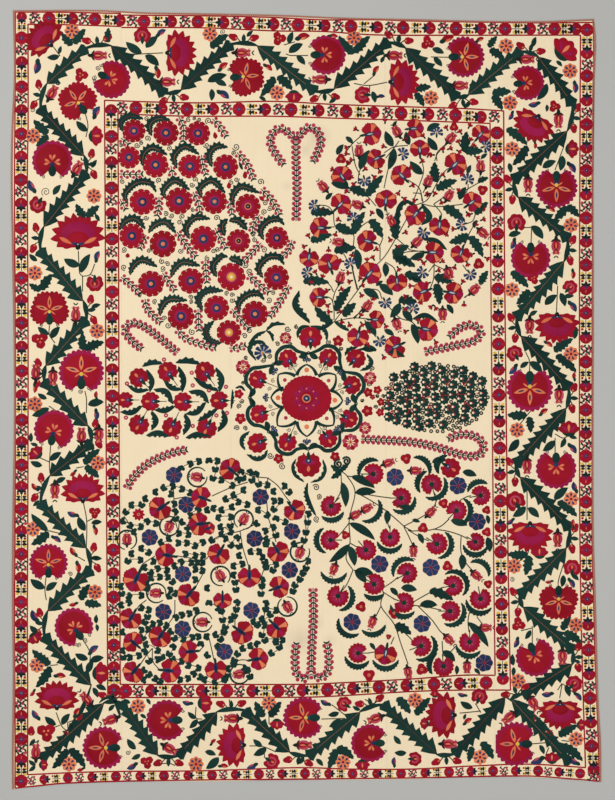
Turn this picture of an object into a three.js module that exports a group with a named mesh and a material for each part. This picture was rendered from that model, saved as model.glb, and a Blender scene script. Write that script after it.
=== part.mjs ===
import * as THREE from 'three';

// A large embroidered cotton cover, laid out flat with its face up. Five loom widths of cotton are
// sewn edge to edge, and a narrow woven edging is sewn on along both sides and along the top end.
// Millimetres, +Z up, +Y towards the top end, origin under the middle of the cover.

const CLOTH_THICKNESS = 1.6;
const EDGING_THICKNESS = 2;
const SIDE_EDGING_WIDTH = 6;
const TOP_EDGING_WIDTH = 5;
const SEWN_GAP = 0.3;
const SAMPLE_STEP = 45;

// How far the two sides reach from the middle line, from the bottom end up. The cover was never cut
// square, and its right side flares towards the bottom.
const LEFT_SIDE = [
  { y: -1184, reach: 893 },
  { y: -1096, reach: 894 },
  { y: -853, reach: 891 },
  { y: -549, reach: 894 },
  { y: -275, reach: 891 },
  { y: -123, reach: 888 },
  { y: 120, reach: 888 },
  { y: 302, reach: 891 },
  { y: 485, reach: 894 },
  { y: 667, reach: 897 },
  { y: 850, reach: 894 },
  { y: 971, reach: 888 },
  { y: 1184, reach: 891 },
];
const RIGHT_SIDE = [
  { y: -1184, reach: 897 },
  { y: -1035, reach: 896 },
  { y: -944, reach: 890 },
  { y: -852, reach: 887 },
  { y: -730, reach: 884 },
  { y: -609, reach: 881 },
  { y: -518, reach: 878 },
  { y: -427, reach: 875 },
  { y: 240, reach: 875 },
  { y: 911, reach: 875 },
  { y: 1002, reach: 878 },
  { y: 1093, reach: 881 },
  { y: 1184, reach: 872 },
];

// How far the two ends reach from the middle, from the left across. The top end drops to the right,
// and the bottom end rises to the right with a dip at each outer corner.
const TOP_END = [
  { x: -897, reach: 1184 },
  { x: -611, reach: 1184 },
  { x: -505, reach: 1178 },
  { x: -337, reach: 1175 },
  { x: -64, reach: 1169 },
  { x: 73, reach: 1163 },
  { x: 164, reach: 1160 },
  { x: 322, reach: 1157 },
  { x: 438, reach: 1154 },
  { x: 575, reach: 1151 },
  { x: 736, reach: 1151 },
  { x: 803, reach: 1154 },
  { x: 897, reach: 1158 },
];
const BOTTOM_END = [
  { x: -897, reach: 1184 },
  { x: -839, reach: 1178 },
  { x: -793, reach: 1169 },
  { x: -681, reach: 1163 },
  { x: -520, reach: 1160 },
  { x: -246, reach: 1159 },
  { x: -109, reach: 1155 },
  { x: 210, reach: 1154 },
  { x: 371, reach: 1151 },
  { x: 483, reach: 1146 },
  { x: 575, reach: 1143 },
  { x: 644, reach: 1145 },
  { x: 803, reach: 1154 },
  { x: 869, reach: 1160 },
  { x: 897, reach: 1161 },
];

// Where the four long seams cross the top and the bottom end, from the left.
const SEAMS = [
  { atTop: -562, atBottom: -560 },
  { atTop: -231, atBottom: -226 },
  { atTop: 239, atBottom: 246 },
  { atTop: 556, atBottom: 575 },
];
const SEAM_SPAN = 1160;

const PANEL_NAMES = ['panel_far_left', 'panel_left', 'panel_middle', 'panel_right', 'panel_far_right'];
const COTTON_COLOR = 0xecd8b2;
const EDGING_COLOR = 0xb8525c;

// A smooth line through the rows of an edge, read at any place along it.
function smoothEdge(rows, along) {
  const places = rows.map((row) => row[along]);
  const reaches = rows.map((row) => row.reach);
  const line = new THREE.CubicInterpolant(places, reaches, 1);
  return (place) => line.evaluate(place)[0];
}

const leftReach = smoothEdge(LEFT_SIDE, 'y');
const rightReach = smoothEdge(RIGHT_SIDE, 'y');
const topReach = smoothEdge(TOP_END, 'x');
const bottomReach = smoothEdge(BOTTOM_END, 'x');

const leftEdge = (y) => -leftReach(y);
const rightEdge = (y) => rightReach(y);
const topEdge = (x) => topReach(x);
const bottomEdge = (x) => -bottomReach(x);

function seamLine(seam) {
  const slope = (seam.atTop - seam.atBottom) / (2 * SEAM_SPAN);
  const middle = (seam.atTop + seam.atBottom) / 2;
  return (y) => middle + slope * y;
}

// The corner where a line that runs up the cover meets a line that runs across it.
function corner(upLine, acrossLine, startY) {
  let y = startY;
  for (let pass = 0; pass < 4; pass += 1) {
    y = acrossLine(upLine(y));
  }
  return new THREE.Vector2(upLine(y), y);
}

// Evenly spaced places from one value towards another, without the last one.
function stations(from, to) {
  const count = Math.max(1, Math.round(Math.abs(to - from) / SAMPLE_STEP));
  return Array.from({ length: count }, (_, i) => from + ((to - from) * i) / count);
}

// The flat outline between two upright lines and two lines across, counter-clockwise.
function outline(left, right, top, bottom) {
  const lowLeft = corner(left, bottom, -SEAM_SPAN);
  const lowRight = corner(right, bottom, -SEAM_SPAN);
  const highRight = corner(right, top, SEAM_SPAN);
  const highLeft = corner(left, top, SEAM_SPAN);
  const across = (line) => (x) => new THREE.Vector2(x, line(x));
  const upright = (line) => (y) => new THREE.Vector2(line(y), y);
  return new THREE.Shape([
    ...stations(lowLeft.x, lowRight.x).map(across(bottom)),
    ...stations(lowRight.y, highRight.y).map(upright(right)),
    ...stations(highRight.x, highLeft.x).map(across(top)),
    ...stations(highLeft.y, lowLeft.y).map(upright(left)),
  ]);
}

function sheet(name, shape, thickness, color, roughness) {
  const geometry = new THREE.ExtrudeGeometry(shape, { depth: thickness, bevelEnabled: false });
  const material = new THREE.MeshStandardMaterial({ color, roughness, metalness: 0 });
  const mesh = new THREE.Mesh(geometry, material);
  mesh.name = name;
  return mesh;
}

const shifted = (line, by) => (place) => line(place) + by;

const cover = new THREE.Group();
cover.name = 'embroidered_cover';

// The cotton loom widths. Each stops half a gap short of its seams, and the outer ones and the top
// end stop at the edging.
const sideStep = SIDE_EDGING_WIDTH + SEWN_GAP;
const uprights = [
  { leftOf: null, rightOf: shifted(leftEdge, sideStep) },
  ...SEAMS.map((seam) => ({
    leftOf: shifted(seamLine(seam), -SEWN_GAP / 2),
    rightOf: shifted(seamLine(seam), SEWN_GAP / 2),
  })),
  { leftOf: shifted(rightEdge, -sideStep), rightOf: null },
];
const clothTop = shifted(topEdge, -(TOP_EDGING_WIDTH + SEWN_GAP));
PANEL_NAMES.forEach((name, i) => {
  const shape = outline(uprights[i].rightOf, uprights[i + 1].leftOf, clothTop, bottomEdge);
  cover.add(sheet(name, shape, CLOTH_THICKNESS, COTTON_COLOR, 0.9));
});

// The woven edging. The side strips run the whole length, and the top strip fits between them.
const leftStrip = outline(leftEdge, shifted(leftEdge, SIDE_EDGING_WIDTH), topEdge, bottomEdge);
const rightStrip = outline(shifted(rightEdge, -SIDE_EDGING_WIDTH), rightEdge, topEdge, bottomEdge);
const topStrip = outline(
  shifted(leftEdge, sideStep),
  shifted(rightEdge, -sideStep),
  topEdge,
  shifted(topEdge, -TOP_EDGING_WIDTH),
);
cover.add(sheet('edging_left', leftStrip, EDGING_THICKNESS, EDGING_COLOR, 0.8));
cover.add(sheet('edging_right', rightStrip, EDGING_THICKNESS, EDGING_COLOR, 0.8));
cover.add(sheet('edging_top', topStrip, EDGING_THICKNESS, EDGING_COLOR, 0.8));

// The outline is uneven, so the whole cover is moved to put its box over the origin.
const box = new THREE.Box3().setFromObject(cover);
const middle = box.getCenter(new THREE.Vector3());
cover.children.forEach((mesh) => mesh.geometry.translate(-middle.x, -middle.y, 0));

export default cover;
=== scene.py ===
import math

import bmesh
import bpy
import numpy as np
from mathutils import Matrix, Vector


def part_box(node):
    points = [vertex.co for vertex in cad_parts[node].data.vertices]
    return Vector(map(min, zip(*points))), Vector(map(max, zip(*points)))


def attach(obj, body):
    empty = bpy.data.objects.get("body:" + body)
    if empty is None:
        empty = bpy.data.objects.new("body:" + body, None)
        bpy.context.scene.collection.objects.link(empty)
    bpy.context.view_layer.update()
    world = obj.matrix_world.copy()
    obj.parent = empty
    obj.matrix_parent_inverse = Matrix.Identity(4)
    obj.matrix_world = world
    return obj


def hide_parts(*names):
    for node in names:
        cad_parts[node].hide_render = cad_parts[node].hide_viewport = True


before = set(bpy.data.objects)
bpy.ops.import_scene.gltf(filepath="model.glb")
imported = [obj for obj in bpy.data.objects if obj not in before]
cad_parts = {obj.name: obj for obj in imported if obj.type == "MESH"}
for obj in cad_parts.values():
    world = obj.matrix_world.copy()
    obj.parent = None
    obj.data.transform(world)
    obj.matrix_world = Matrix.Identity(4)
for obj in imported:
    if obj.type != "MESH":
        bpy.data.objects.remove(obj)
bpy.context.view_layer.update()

bpy.ops.object.select_all(action="DESELECT")

# The floor and the light. The cover lies on a pale grey floor under broad soft light that
# comes mostly from the upper left, and the camera looks straight down on it.


def colour(red, green, blue):
    """A dye as seen by eye, turned into the linear values that a shader takes."""
    seen = np.array((red, green, blue)) / 255
    linear = np.where(seen < 0.04045, seen / 12.92, ((seen + 0.055) / 1.055) ** 2.4)
    return (*linear, 1.0)


class Strand:
    """A value in a material's node tree, so that shader sums are written as plain expressions."""

    def __init__(self, tree, socket=None):
        self.tree = tree
        self.socket = socket

    def node(self, kind, settings, inputs, output=0):
        made = self.tree.nodes.new(kind)
        for name, value in settings.items():
            setattr(made, name, value)
        for name, value in inputs.items():
            if isinstance(value, Strand):
                self.tree.links.new(value.socket, made.inputs[name])
            else:
                made.inputs[name].default_value = value
        return Strand(self.tree, made.outputs[output])

    def maths(self, operation, a, b=0.0):
        return self.node("ShaderNodeMath", {"operation": operation}, {0: a, 1: b})

    def __add__(self, other):
        return self.maths("ADD", self, other)

    def __sub__(self, other):
        return self.maths("SUBTRACT", self, other)

    def __rsub__(self, other):
        return self.maths("SUBTRACT", other, self)

    def __mul__(self, other):
        return self.maths("MULTIPLY", self, other)

    def sine(self):
        return self.maths("SINE", self)

    def held(self):
        """The value kept between nought and one."""
        return self.node("ShaderNodeClamp", {}, {0: self})

    def mix(self, low, high):
        """From the low colour to the high one as this value goes from nought to one."""
        inputs = {0: self, 6: low, 7: high}
        return self.node("ShaderNodeMix", {"data_type": "RGBA"}, inputs, 2)

    def noise(self, place, scale, detail=2.0):
        inputs = {"Vector": place, "Scale": scale, "Detail": detail}
        return self.node("ShaderNodeTexNoise", {}, inputs)

    def mapped(self, place, scale):
        return self.node("ShaderNodeMapping", {}, {"Vector": place, "Scale": scale})

    __radd__ = __add__
    __rmul__ = __mul__


def new_material(name):
    material = bpy.data.materials.new(name)
    material.use_nodes = True
    return material, material.node_tree.nodes["Principled BSDF"], Strand(material.node_tree)


def finish_material(shader, base, roughness, height, depth, strength):
    """Feeds a shader its colour and roughness, and its normal from a bump of the given depth."""
    inputs = {"Height": height, "Distance": depth, "Strength": strength}
    bump = base.node("ShaderNodeBump", {}, inputs)
    for value, socket in ((base, "Base Color"), (roughness, "Roughness"), (bump, "Normal")):
        base.tree.links.new(value.socket, shader.inputs[socket])


bpy.ops.mesh.primitive_plane_add(size=14)
floor = bpy.context.object
floor.name = "floor"
floor_material, floor_shader, floor_node = new_material("pale_floor")
floor_place = floor_node.node("ShaderNodeTexCoord", {}, {}, "Object")
floor_cloud = floor_node.noise(floor_place, 1.1)
floor_base = floor_cloud.mix(colour(176, 176, 173), colour(183, 182, 178))
floor_grain = floor_node.noise(floor_place, 220.0)
finish_material(floor_shader, floor_base, 0.75 + 0.1 * floor_cloud, floor_grain, 0.0002, 0.2)
floor.data.materials.append(floor_material)

# The cover is drawn on a chart, whose step is 3.04 mm of cloth. Chart places run from the
# upper left corner of the picture, x to the right and y down, and angles turn
# counter-clockwise from the right. A place on the chart is one complex number.
CHART = 0.00304
CHART_MIDDLE = 306 - 399.5j


def spot(x, y):
    return complex(x, -y)


CAMERA_HEIGHT = 5.742
PICTURE_MIDDLE = spot(307.5, 400)

bpy.ops.object.camera_add(location=(0, 0, CAMERA_HEIGHT))
camera = bpy.context.object
camera.data.lens = 85
camera.data.sensor_width = 36
from_middle = (PICTURE_MIDDLE - CHART_MIDDLE) * CHART
camera.location.x = from_middle.real
camera.location.y = from_middle.imag
bpy.context.scene.camera = camera

# name, place, size, watts
LAMPS = [
    ("key", (-2.9, 1.9, 4.4), 2.8, 160),
    ("fill", (3.2, -0.4, 4.4), 3.6, 96),
    ("low_end", (-0.6, -3.4, 4.4), 3.2, 52),
]
for name, place, size, watts in LAMPS:
    bpy.ops.object.light_add(type="AREA", location=place)
    lamp = bpy.context.object
    lamp.name = name
    lamp.data.size = size
    lamp.data.energy = watts
    aim = -lamp.location
    lamp.rotation_euler = aim.to_track_quat("-Z", "Y").to_euler()
world = bpy.data.worlds.new("soft_room")
world.use_nodes = True
world.node_tree.nodes["Background"].inputs["Color"].default_value = (1.0, 0.99, 0.97, 1)
world.node_tree.nodes["Background"].inputs["Strength"].default_value = 0.3
bpy.context.scene.world = world
bpy.context.scene.view_settings.view_transform = "Standard"

# The cotton ground: five hand-loomed widths of undyed cotton, each a thin sheet lying on the floor
# in soft low waves. Each is made to the outline of its solid.
COTTON_THICKNESS = 0.0008
COTTON_TOP = 0.0009
COTTON_CELL = 0.02


def relief(x, y):
    """How far the laid cloth lifts, in metres, at a place in metres."""
    slow = 0.0004 * np.sin(5.1 * x + 2.3 * y + 0.4) + 0.0003 * np.sin(7.9 * y - 3.1 * x)
    quick = 0.00018 * np.sin(17.0 * x - 9.0 * y + 1.7) * np.sin(13.0 * y + 0.6)
    return 0.0008 + slow + quick


def cut_from(node_name, cell):
    """A flat sheet with a solid's outline, cut into cells along both ways of the weave."""
    sheet = bmesh.new()
    sheet.from_mesh(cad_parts[node_name].data)
    bmesh.ops.remove_doubles(sheet, verts=sheet.verts, dist=1e-6)
    sheet.normal_update()
    others = [face for face in sheet.faces if face.normal.z < 0.5]
    bmesh.ops.delete(sheet, geom=others, context="FACES")
    bmesh.ops.dissolve_faces(sheet, faces=list(sheet.faces))
    low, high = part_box(node_name)
    for axis in (0, 1):
        count = max(1, round((high[axis] - low[axis]) / cell))
        for place in np.linspace(low[axis], high[axis], count + 1)[1:-1]:
            point, normal = [0, 0, 0], [0, 0, 0]
            point[axis], normal[axis] = place, 1
            every = list(sheet.verts) + list(sheet.edges) + list(sheet.faces)
            bmesh.ops.bisect_plane(sheet, geom=every, dist=1e-6, plane_co=point, plane_no=normal)
    return sheet


def laid_cloth(sheet, name, top, thickness):
    """Lays a flat sheet on the relief and gives it its thickness."""
    for vert in sheet.verts:
        vert.co.z = top + relief(vert.co.x, vert.co.y)
    mesh = bpy.data.meshes.new(name)
    sheet.to_mesh(mesh)
    sheet.free()
    cloth = bpy.data.objects.new(name, mesh)
    bpy.context.scene.collection.objects.link(cloth)
    bpy.context.view_layer.objects.active = cloth
    cloth.select_set(True)
    solid = cloth.modifiers.new("thickness", "SOLIDIFY")
    solid.thickness = thickness
    solid.offset = -1
    bpy.ops.object.modifier_apply(modifier="thickness")
    bpy.ops.object.shade_smooth_by_angle(angle=math.radians(40))
    cloth.select_set(False)
    return cloth


cotton, cotton_shader, cotton_node = new_material("undyed_cotton")
cotton_place = cotton_node.node("ShaderNodeTexCoord", {}, {}, "Object")
warp_streaks = cotton_node.noise(cotton_node.mapped(cotton_place, (150, 2.2, 1)), 1.0, 3.0)
weft_slubs = cotton_node.noise(cotton_node.mapped(cotton_place, (5, 260, 1)), 1.0, 3.0)
age_clouds = cotton_node.noise(cotton_place, 5.5, 4.0)
blush_clouds = cotton_node.noise(cotton_node.mapped(cotton_place, (1.3, 0.9, 1)), 9.0, 3.0)
cotton_tone = (0.3 + 0.5 * age_clouds + 0.25 * warp_streaks + 0.15 * weft_slubs - 0.2).held()
plain_cotton = cotton_tone.mix(colour(230, 209, 170), colour(246, 228, 196))
blush = ((blush_clouds - 0.52) * 2.2).held() * 0.55
tinted_cotton = blush.mix(plain_cotton, colour(242, 217, 190))

# Old stains: x, y, reach on the chart, strength
STAINS = [
    (318, 137, 15, 0.42), (306, 150, 9, 0.3), (300, 640, 17, 0.36), (316, 622, 10, 0.3),
    (287, 186, 8, 0.15), (330, 640, 9, 0.2), (118, 88, 8, 0.12), (420, 360, 10, 0.12),
]
stained = tinted_cotton
for x, y, reach, strength in STAINS:
    centre = (spot(x, y) - CHART_MIDDLE) * CHART
    away = cotton_node.node(
        "ShaderNodeVectorMath", {"operation": "DISTANCE"},
        {0: cotton_place, 1: (centre.real, centre.imag, 0.0017)}, "Value",
    )
    soaked = (1 - away * (1 / (reach * CHART))).held() * strength * (0.5 + age_clouds)
    stained = soaked.held().mix(stained, colour(176, 164, 140))

warp_rib = cotton_node.node("ShaderNodeSeparateXYZ", {}, {0: cotton_place}, 0)
weft_rib = cotton_node.node("ShaderNodeSeparateXYZ", {}, {0: cotton_place}, 1)
THREADS_PER_METRE = 900
weave = (warp_rib * (math.tau * THREADS_PER_METRE)).sine() * 0.5
weave = weave + (weft_rib * (math.tau * THREADS_PER_METRE)).sine() * 0.5 + weft_slubs
finish_material(cotton_shader, stained, 0.88 + 0.08 * weft_slubs, weave, 0.00025, 0.35)
cotton_shader.inputs["Sheen Weight"].default_value = 0.15
cotton_shader.inputs["Specular IOR Level"].default_value = 0.2

PANELS = ["panel_far_left", "panel_left", "panel_middle", "panel_right", "panel_far_right"]
panels = {}
for node_name in PANELS:
    name = "cotton_" + node_name.replace("panel_", "")
    panel = laid_cloth(cut_from(node_name, COTTON_CELL), name, COTTON_TOP, COTTON_THICKNESS)
    panel.data.materials.append(cotton)
    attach(panel, "root")
    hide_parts(node_name)
    panels[node_name] = panel

# The edging: a narrow tape woven in slanting steps of red and cream, sewn over the raw edge along
# both sides and the top end.
EDGING_TOP = 0.0012
EDGING_TAPE = 0.001
EDGING_STEPS_PER_METRE = 150
tape, tape_shader, tape_node = new_material("edging_tape")
tape_place = tape_node.node("ShaderNodeTexCoord", {}, {}, "Object")
tape_x = tape_node.node("ShaderNodeSeparateXYZ", {}, {0: tape_place}, 0)
tape_y = tape_node.node("ShaderNodeSeparateXYZ", {}, {0: tape_place}, 1)
tape_wear = tape_node.noise(tape_place, 60.0, 3.0)
slant = ((tape_x + tape_y) * (math.tau * EDGING_STEPS_PER_METRE)).sine()
red_share = (0.62 + 0.9 * slant + 0.8 * (tape_wear - 0.5)).held()
red_yarn = tape_wear.mix(colour(112, 22, 34), colour(164, 56, 62))
cream_yarn = tape_wear.mix(colour(172, 134, 106), colour(206, 172, 138))
ribs = ((tape_x - tape_y) * (math.tau * 700)).sine() * 0.5 + tape_wear
tape_base = red_share.mix(cream_yarn, red_yarn)
finish_material(tape_shader, tape_base, 0.75 + 0.15 * tape_wear, ribs, 0.0003, 0.5)
tape_shader.inputs["Specular IOR Level"].default_value = 0.2

# width and length of each tape in metres; a sheet's width is given as 10 mm at least, with its true area
EDGING_TAPES = {"edging_left": (0.006, 2.368), "edging_right": (0.006, 2.319), "edging_top": (0.005, 1.755)}
for node_name, (width, length) in EDGING_TAPES.items():
    name = "tape_" + node_name.replace("edging_", "")
    edging = laid_cloth(cut_from(node_name, COTTON_CELL), name, EDGING_TOP, EDGING_TAPE)
    edging.data.materials.append(tape)
    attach(edging, "root")
    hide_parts(node_name)
    width * length

# The silk stitching. Floss is laid side by side in flat satin patches and couched down, so a
# patch stands a little proud of the cotton and falls away at its rim. Every patch is kept with
# its colour until the end, when all the patches of one colour become one mesh.
LAID_HEIGHT = 0.00055
OVER_STEP = 0.0003
RIM_DEPTH = -0.00006
SILKS = [
    "crimson", "magenta", "rose", "salmon", "yellow", "green", "indigo", "umber", "olive", "pale", "cream",
]
patches = {silk: [] for silk in SILKS}
hand = np.random.default_rng(7)


def heading(degrees):
    return np.exp(1j * np.radians(degrees))


def keep_patch(silk, places, heights, stitch, quads):
    """Keeps a patch: chart places, heights in metres, stitch coordinates and faces of four."""
    ground = (np.asarray(places) - CHART_MIDDLE) * CHART
    # Each patch draws one seeded shade. It is partly its dye lot and partly painted sheen, for the way its
    # floss catches the light.
    tone = np.full(len(ground), hand.uniform(-1, 1))
    points = np.column_stack([ground.real, ground.imag, heights])
    patches[silk].append((points, np.column_stack([stitch.real, stitch.imag]), tone, quads))


def strip(silk, spine, left, right=None, layer=0):
    """Satin stitch across a spine: half widths on the left and right of each point of it."""
    spine = np.asarray(spine, complex)
    left = np.broadcast_to(np.asarray(left, float), spine.shape)
    right = left if right is None else np.broadcast_to(np.asarray(right, float), spine.shape)
    along = np.gradient(spine)
    along = along / np.maximum(np.abs(along), 1e-9)
    blunt = 0.35 * (left[[0, -1]] + right[[0, -1]]) / 2
    spine = np.concatenate([[spine[0] - along[0] * blunt[0]], spine,
                            [spine[-1] + along[-1] * blunt[1]]])
    along = np.concatenate([along[:1], along, along[-1:]])
    left = np.concatenate([left[:1] * 0.6, left, left[-1:] * 0.6])
    right = np.concatenate([right[:1] * 0.6, right, right[-1:] * 0.6])
    broad = max(left.max(), right.max()) > 0.9
    across = np.array([1, 0.62, -0.62, -1] if broad else [1, 0, -1])
    crown = np.array([0, 1, 1, 0] if broad else [0, 1, 0])
    sides = np.where(across[None] > 0, left[:, None], right[:, None]) * across[None]
    places = spine[:, None] + 1j * along[:, None] * sides
    top = OVER_STEP * layer + LAID_HEIGHT * (1 if broad else 0.75)
    heights = RIM_DEPTH + (top - RIM_DEPTH) * np.broadcast_to(crown, places.shape).copy()
    heights[[0, -1]] = RIM_DEPTH
    length = np.concatenate([[0], np.cumsum(np.abs(np.diff(spine)))]) * CHART
    stitch = length[:, None] + 1j * sides * CHART + hand.uniform(0, 1)
    rows, columns = places.shape
    corner = (np.arange(rows - 1)[:, None] * columns + np.arange(columns - 1)[None]).ravel()
    quads = np.column_stack([corner, corner + columns, corner + columns + 1, corner + 1])
    keep_patch(silk, places.ravel(), heights.ravel(), stitch.ravel(), quads)


def disc(silk, centre, reach, layer=0, lay=None, count=None):
    """A laid patch round a centre: its reach at evenly spaced angles, or one reach for all."""
    reach = np.asarray(reach, float)
    if reach.ndim == 0:
        count = count or (10 if reach < 2 else 16 if reach < 5 else 28)
        reach = np.full(count, float(reach))
    count = len(reach)
    out = np.exp(2j * np.pi * np.arange(count) / count)
    rim = min(0.45, 0.45 / max(reach.max(), 0.5))
    shares = [1, 1 - rim, 0.0]
    crowns = [0, 0.92, 1.03]
    places = np.array([centre + out * reach * share for share in shares])
    top = OVER_STEP * layer + LAID_HEIGHT
    heights = RIM_DEPTH + (top - RIM_DEPTH) * np.repeat(np.array(crowns)[:, None], count, 1)
    turn = heading(hand.uniform(0, 180) if lay is None else lay)
    stitch = (places - centre) * turn * CHART + hand.uniform(0, 1)
    rings = len(shares)
    corner = np.arange(count)
    after = (corner + 1) % count
    quads = [np.column_stack([ring * count + corner, ring * count + after,
                              (ring + 1) * count + after, (ring + 1) * count + corner])
             for ring in range(rings - 1)]
    keep_patch(silk, places.ravel(), heights.ravel(), stitch.ravel(), np.concatenate(quads))


def curve(points, count=16):
    """A smooth line through a few chart places, in even steps."""
    points = np.asarray(points, complex)
    if len(points) == 2:
        return np.linspace(points[0], points[1], count)
    ends = np.concatenate([[2 * points[0] - points[1]], points, [2 * points[-1] - points[-2]]])
    at = np.linspace(0, len(points) - 1, 20 * len(points))
    span = np.minimum(at.astype(int), len(points) - 2)
    t = at - span
    a, b, c, d = (ends[span + k] for k in range(4))
    fine = 0.5 * (2 * b + (c - a) * t + (2 * a - 5 * b + 4 * c - d) * t**2 + (3 * b - a - 3 * c + d) * t**3)
    length = np.concatenate([[0], np.cumsum(np.abs(np.diff(fine)))])
    return np.interp(np.linspace(0, length[-1], count), length, fine)


def line(silk, points, width, layer=0, count=None):
    points = [point if isinstance(point, complex) else spot(*point) for point in points]
    strip(silk, curve(points, count or 5 * len(points)), width / 2, layer=layer)


def bowed(start, end, bow, count=12):
    """A line from one place to another that bows to its left by a share of its length."""
    t = np.linspace(0, 1, count)
    return start + (end - start) * t + 1j * (end - start) * bow * 4 * t * (1 - t)


def lens(silk, start, end, width, bow=0.0, layer=0, full=0.45):
    """A plain leaf or petal with a point at each end, fullest at a share of its length."""
    count = 7 if abs(end - start) < 9 else 11
    t = np.linspace(0, 1, count)
    swell = np.sin(np.pi * t ** (math.log(0.5) / math.log(full))) ** 0.8
    strip(silk, bowed(start, end, bow, count), 0.06 + width / 2 * swell, layer=layer)


def saw_edge(t, teeth, shift, depth):
    """Forward-pointing teeth: one at each tip and less in each notch."""
    step = (t * teeth + shift + 1e-6) % 1.0
    return 1 - depth + depth * np.where(step < 0.67, (1.5 * step) ** 1.5, 3 * (1 - step)).clip(0, 1)


def saw_leaf(start, end, width, teeth, bow):
    """A serrated leaf from its stalk to its tip."""
    t = np.linspace(0, 1, teeth * 6 + 1)
    body = np.interp(t, [0, 0.05, 0.28, 0.58, 0.9, 1], [0.2, 0.62, 1, 0.96, 0.4, 0.06])
    spine = bowed(start, end, bow, len(t))
    left = 0.1 + width / 2 * body * saw_edge(t, teeth, 0.0, 0.34)
    right = 0.1 + width / 2 * body * saw_edge(t, teeth, 0.5, 0.34)
    strip("green", spine, left, right)


def spiral(silk, centre, reach, turns, width, start=0.0, flip=1):
    """A curl of chain stitch, wound outwards."""
    t = np.linspace(0, 1, int(10 * turns) + 4)
    arm = reach * (0.15 + 0.85 * t) * np.exp(1j * (np.radians(start) - flip * (1 - t) * turns * math.tau))
    strip(silk, centre + arm, width / 2)


def lobed(reach, lobes, depth, count=None, shift=0.0):
    """Reaches of a scalloped rim."""
    angles = np.linspace(0, math.tau, count or lobes * 4, endpoint=False)
    return reach * (1 - depth + depth * np.abs(np.cos((angles * lobes + shift) / 2)))


# The two narrow bands. Each runs between two lines of crimson chain stitch and repeats a
# rosette, a yellow knot on a stem, a tulip and a berried sprig, clockwise round the cover.
LINE_WIDTH = 1.7
OUTER_BAND_LINES = [
    [(15.4, 12.2), (15.4, 80), (14.6, 180), (15.2, 300), (15.6, 400), (15.2, 520), (14.6, 620),
     (15.2, 720), (15.2, 788)],
    [(28, 24.4), (28.2, 120), (27.4, 180), (28, 300), (28.2, 400), (27.8, 540), (27.4, 620),
     (27.8, 700), (27.6, 774.6)],
    [(15.4, 12.2), (65, 12.4), (121, 13.6)],
    [(121.6, 15.2), (205, 16), (273, 17.6), (323, 20), (375, 19.8), (410, 21), (488, 22.4),
     (540, 23), (593.4, 22.6)],
    [(28, 24.4), (75, 25), (121, 26.6)],
    [(121.6, 27.6), (205, 28), (273, 31), (323, 31.6), (375, 35), (450, 35.4), (580, 35.2)],
    [(593.4, 22.6), (593.6, 80), (592.4, 200), (592, 400), (592, 540), (593.6, 600), (595, 660),
     (597.4, 720), (599.4, 781)],
    [(580.4, 35.2), (580, 120), (579.4, 300), (579.6, 500), (580.8, 600), (582.6, 680), (585.4, 767.4)],
    [(15.2, 788), (38, 785.6), (65, 783), (121, 781), (205, 779.8), (296, 779), (410, 777.8),
     (470, 776.4), (528, 775.8), (570, 778.6), (599.4, 781)],
    [(27.6, 774.6), (70, 772.6), (121, 771.3), (205, 770.6), (296, 767.6), (350, 769), (410, 769),
     (470, 766), (528, 764), (585.4, 767.4)],
]
INNER_BAND_LINES = [
    [(104.6, 100.4), (105.4, 250), (106, 400), (107, 560), (107.9, 697.4)],
    [(118, 113.7), (118.6, 250), (119, 400), (119.8, 560), (120.3, 684.3)],
    [(104.6, 100.4), (150, 102), (205, 103), (273, 101.5), (336, 104.6), (410, 107), (462, 108.5),
     (503.6, 111)],
    [(118, 113.7), (160, 115.6), (205, 116.4), (273, 116.4), (336, 118.3), (410, 120.5), (490, 123.5)],
    [(503.6, 111), (504.4, 250), (506, 400), (508, 560), (510.4, 690)],
    [(490, 123.5), (490.6, 250), (492, 400), (493.6, 560), (495, 675.2)],
    [(107.9, 697.4), (200, 697.4), (296, 697.2), (336, 696), (410, 691.5), (462, 690), (510.4, 690)],
    [(120.3, 684.3), (200, 684.4), (296, 684.3), (336, 683), (410, 679), (462, 675.2), (495, 675.2)],
]
for band_line in OUTER_BAND_LINES + INNER_BAND_LINES:
    line("crimson", band_line, LINE_WIDTH, count=10 * len(band_line))


def band_rosette(centre, along):
    size = abs(along)
    disc("crimson", centre, lobed(6.8 * size, 10, 0.06))
    for side in (1, -1):
        strip("salmon", np.linspace(centre + side * 2.3 * size, centre + side * 5.8 * size, 4), 0.3, layer=1)
    disc("magenta", centre, 3.1 * size, layer=1)
    disc("indigo", centre, 2.1 * size, layer=2)
    disc("pale", centre, 0.75 * size, layer=3)


def band_knot(centre, along):
    size = abs(along)
    strip("umber", np.linspace(centre - 5.2 * along, centre + 5.2 * along, 5), 0.45 * size)
    for side in (1j, -1j):
        for step in (-3.2, 3.0):
            foot = centre + along * (step + 3.6 * side)
            lens("yellow", foot - along * (1.5 + 0.2 * side), foot + along * (1.5 + 0.2 * side), 3.8 * size)
        foot, tip = centre + along * (0.6 * side - 1.3), centre + along * (5.8 * side - 0.9)
        lens("umber", foot, tip, 3.2 * size, layer=1)
        foot, tip = centre + along * (0.8 * side + 1.5), centre + along * (5.2 * side + 1.9)
        lens("umber", foot, tip, 2.7 * size, layer=1)
        disc("crimson", centre + along * (4.6 + 3.6 * side), 1.4 * size, layer=1)


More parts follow.
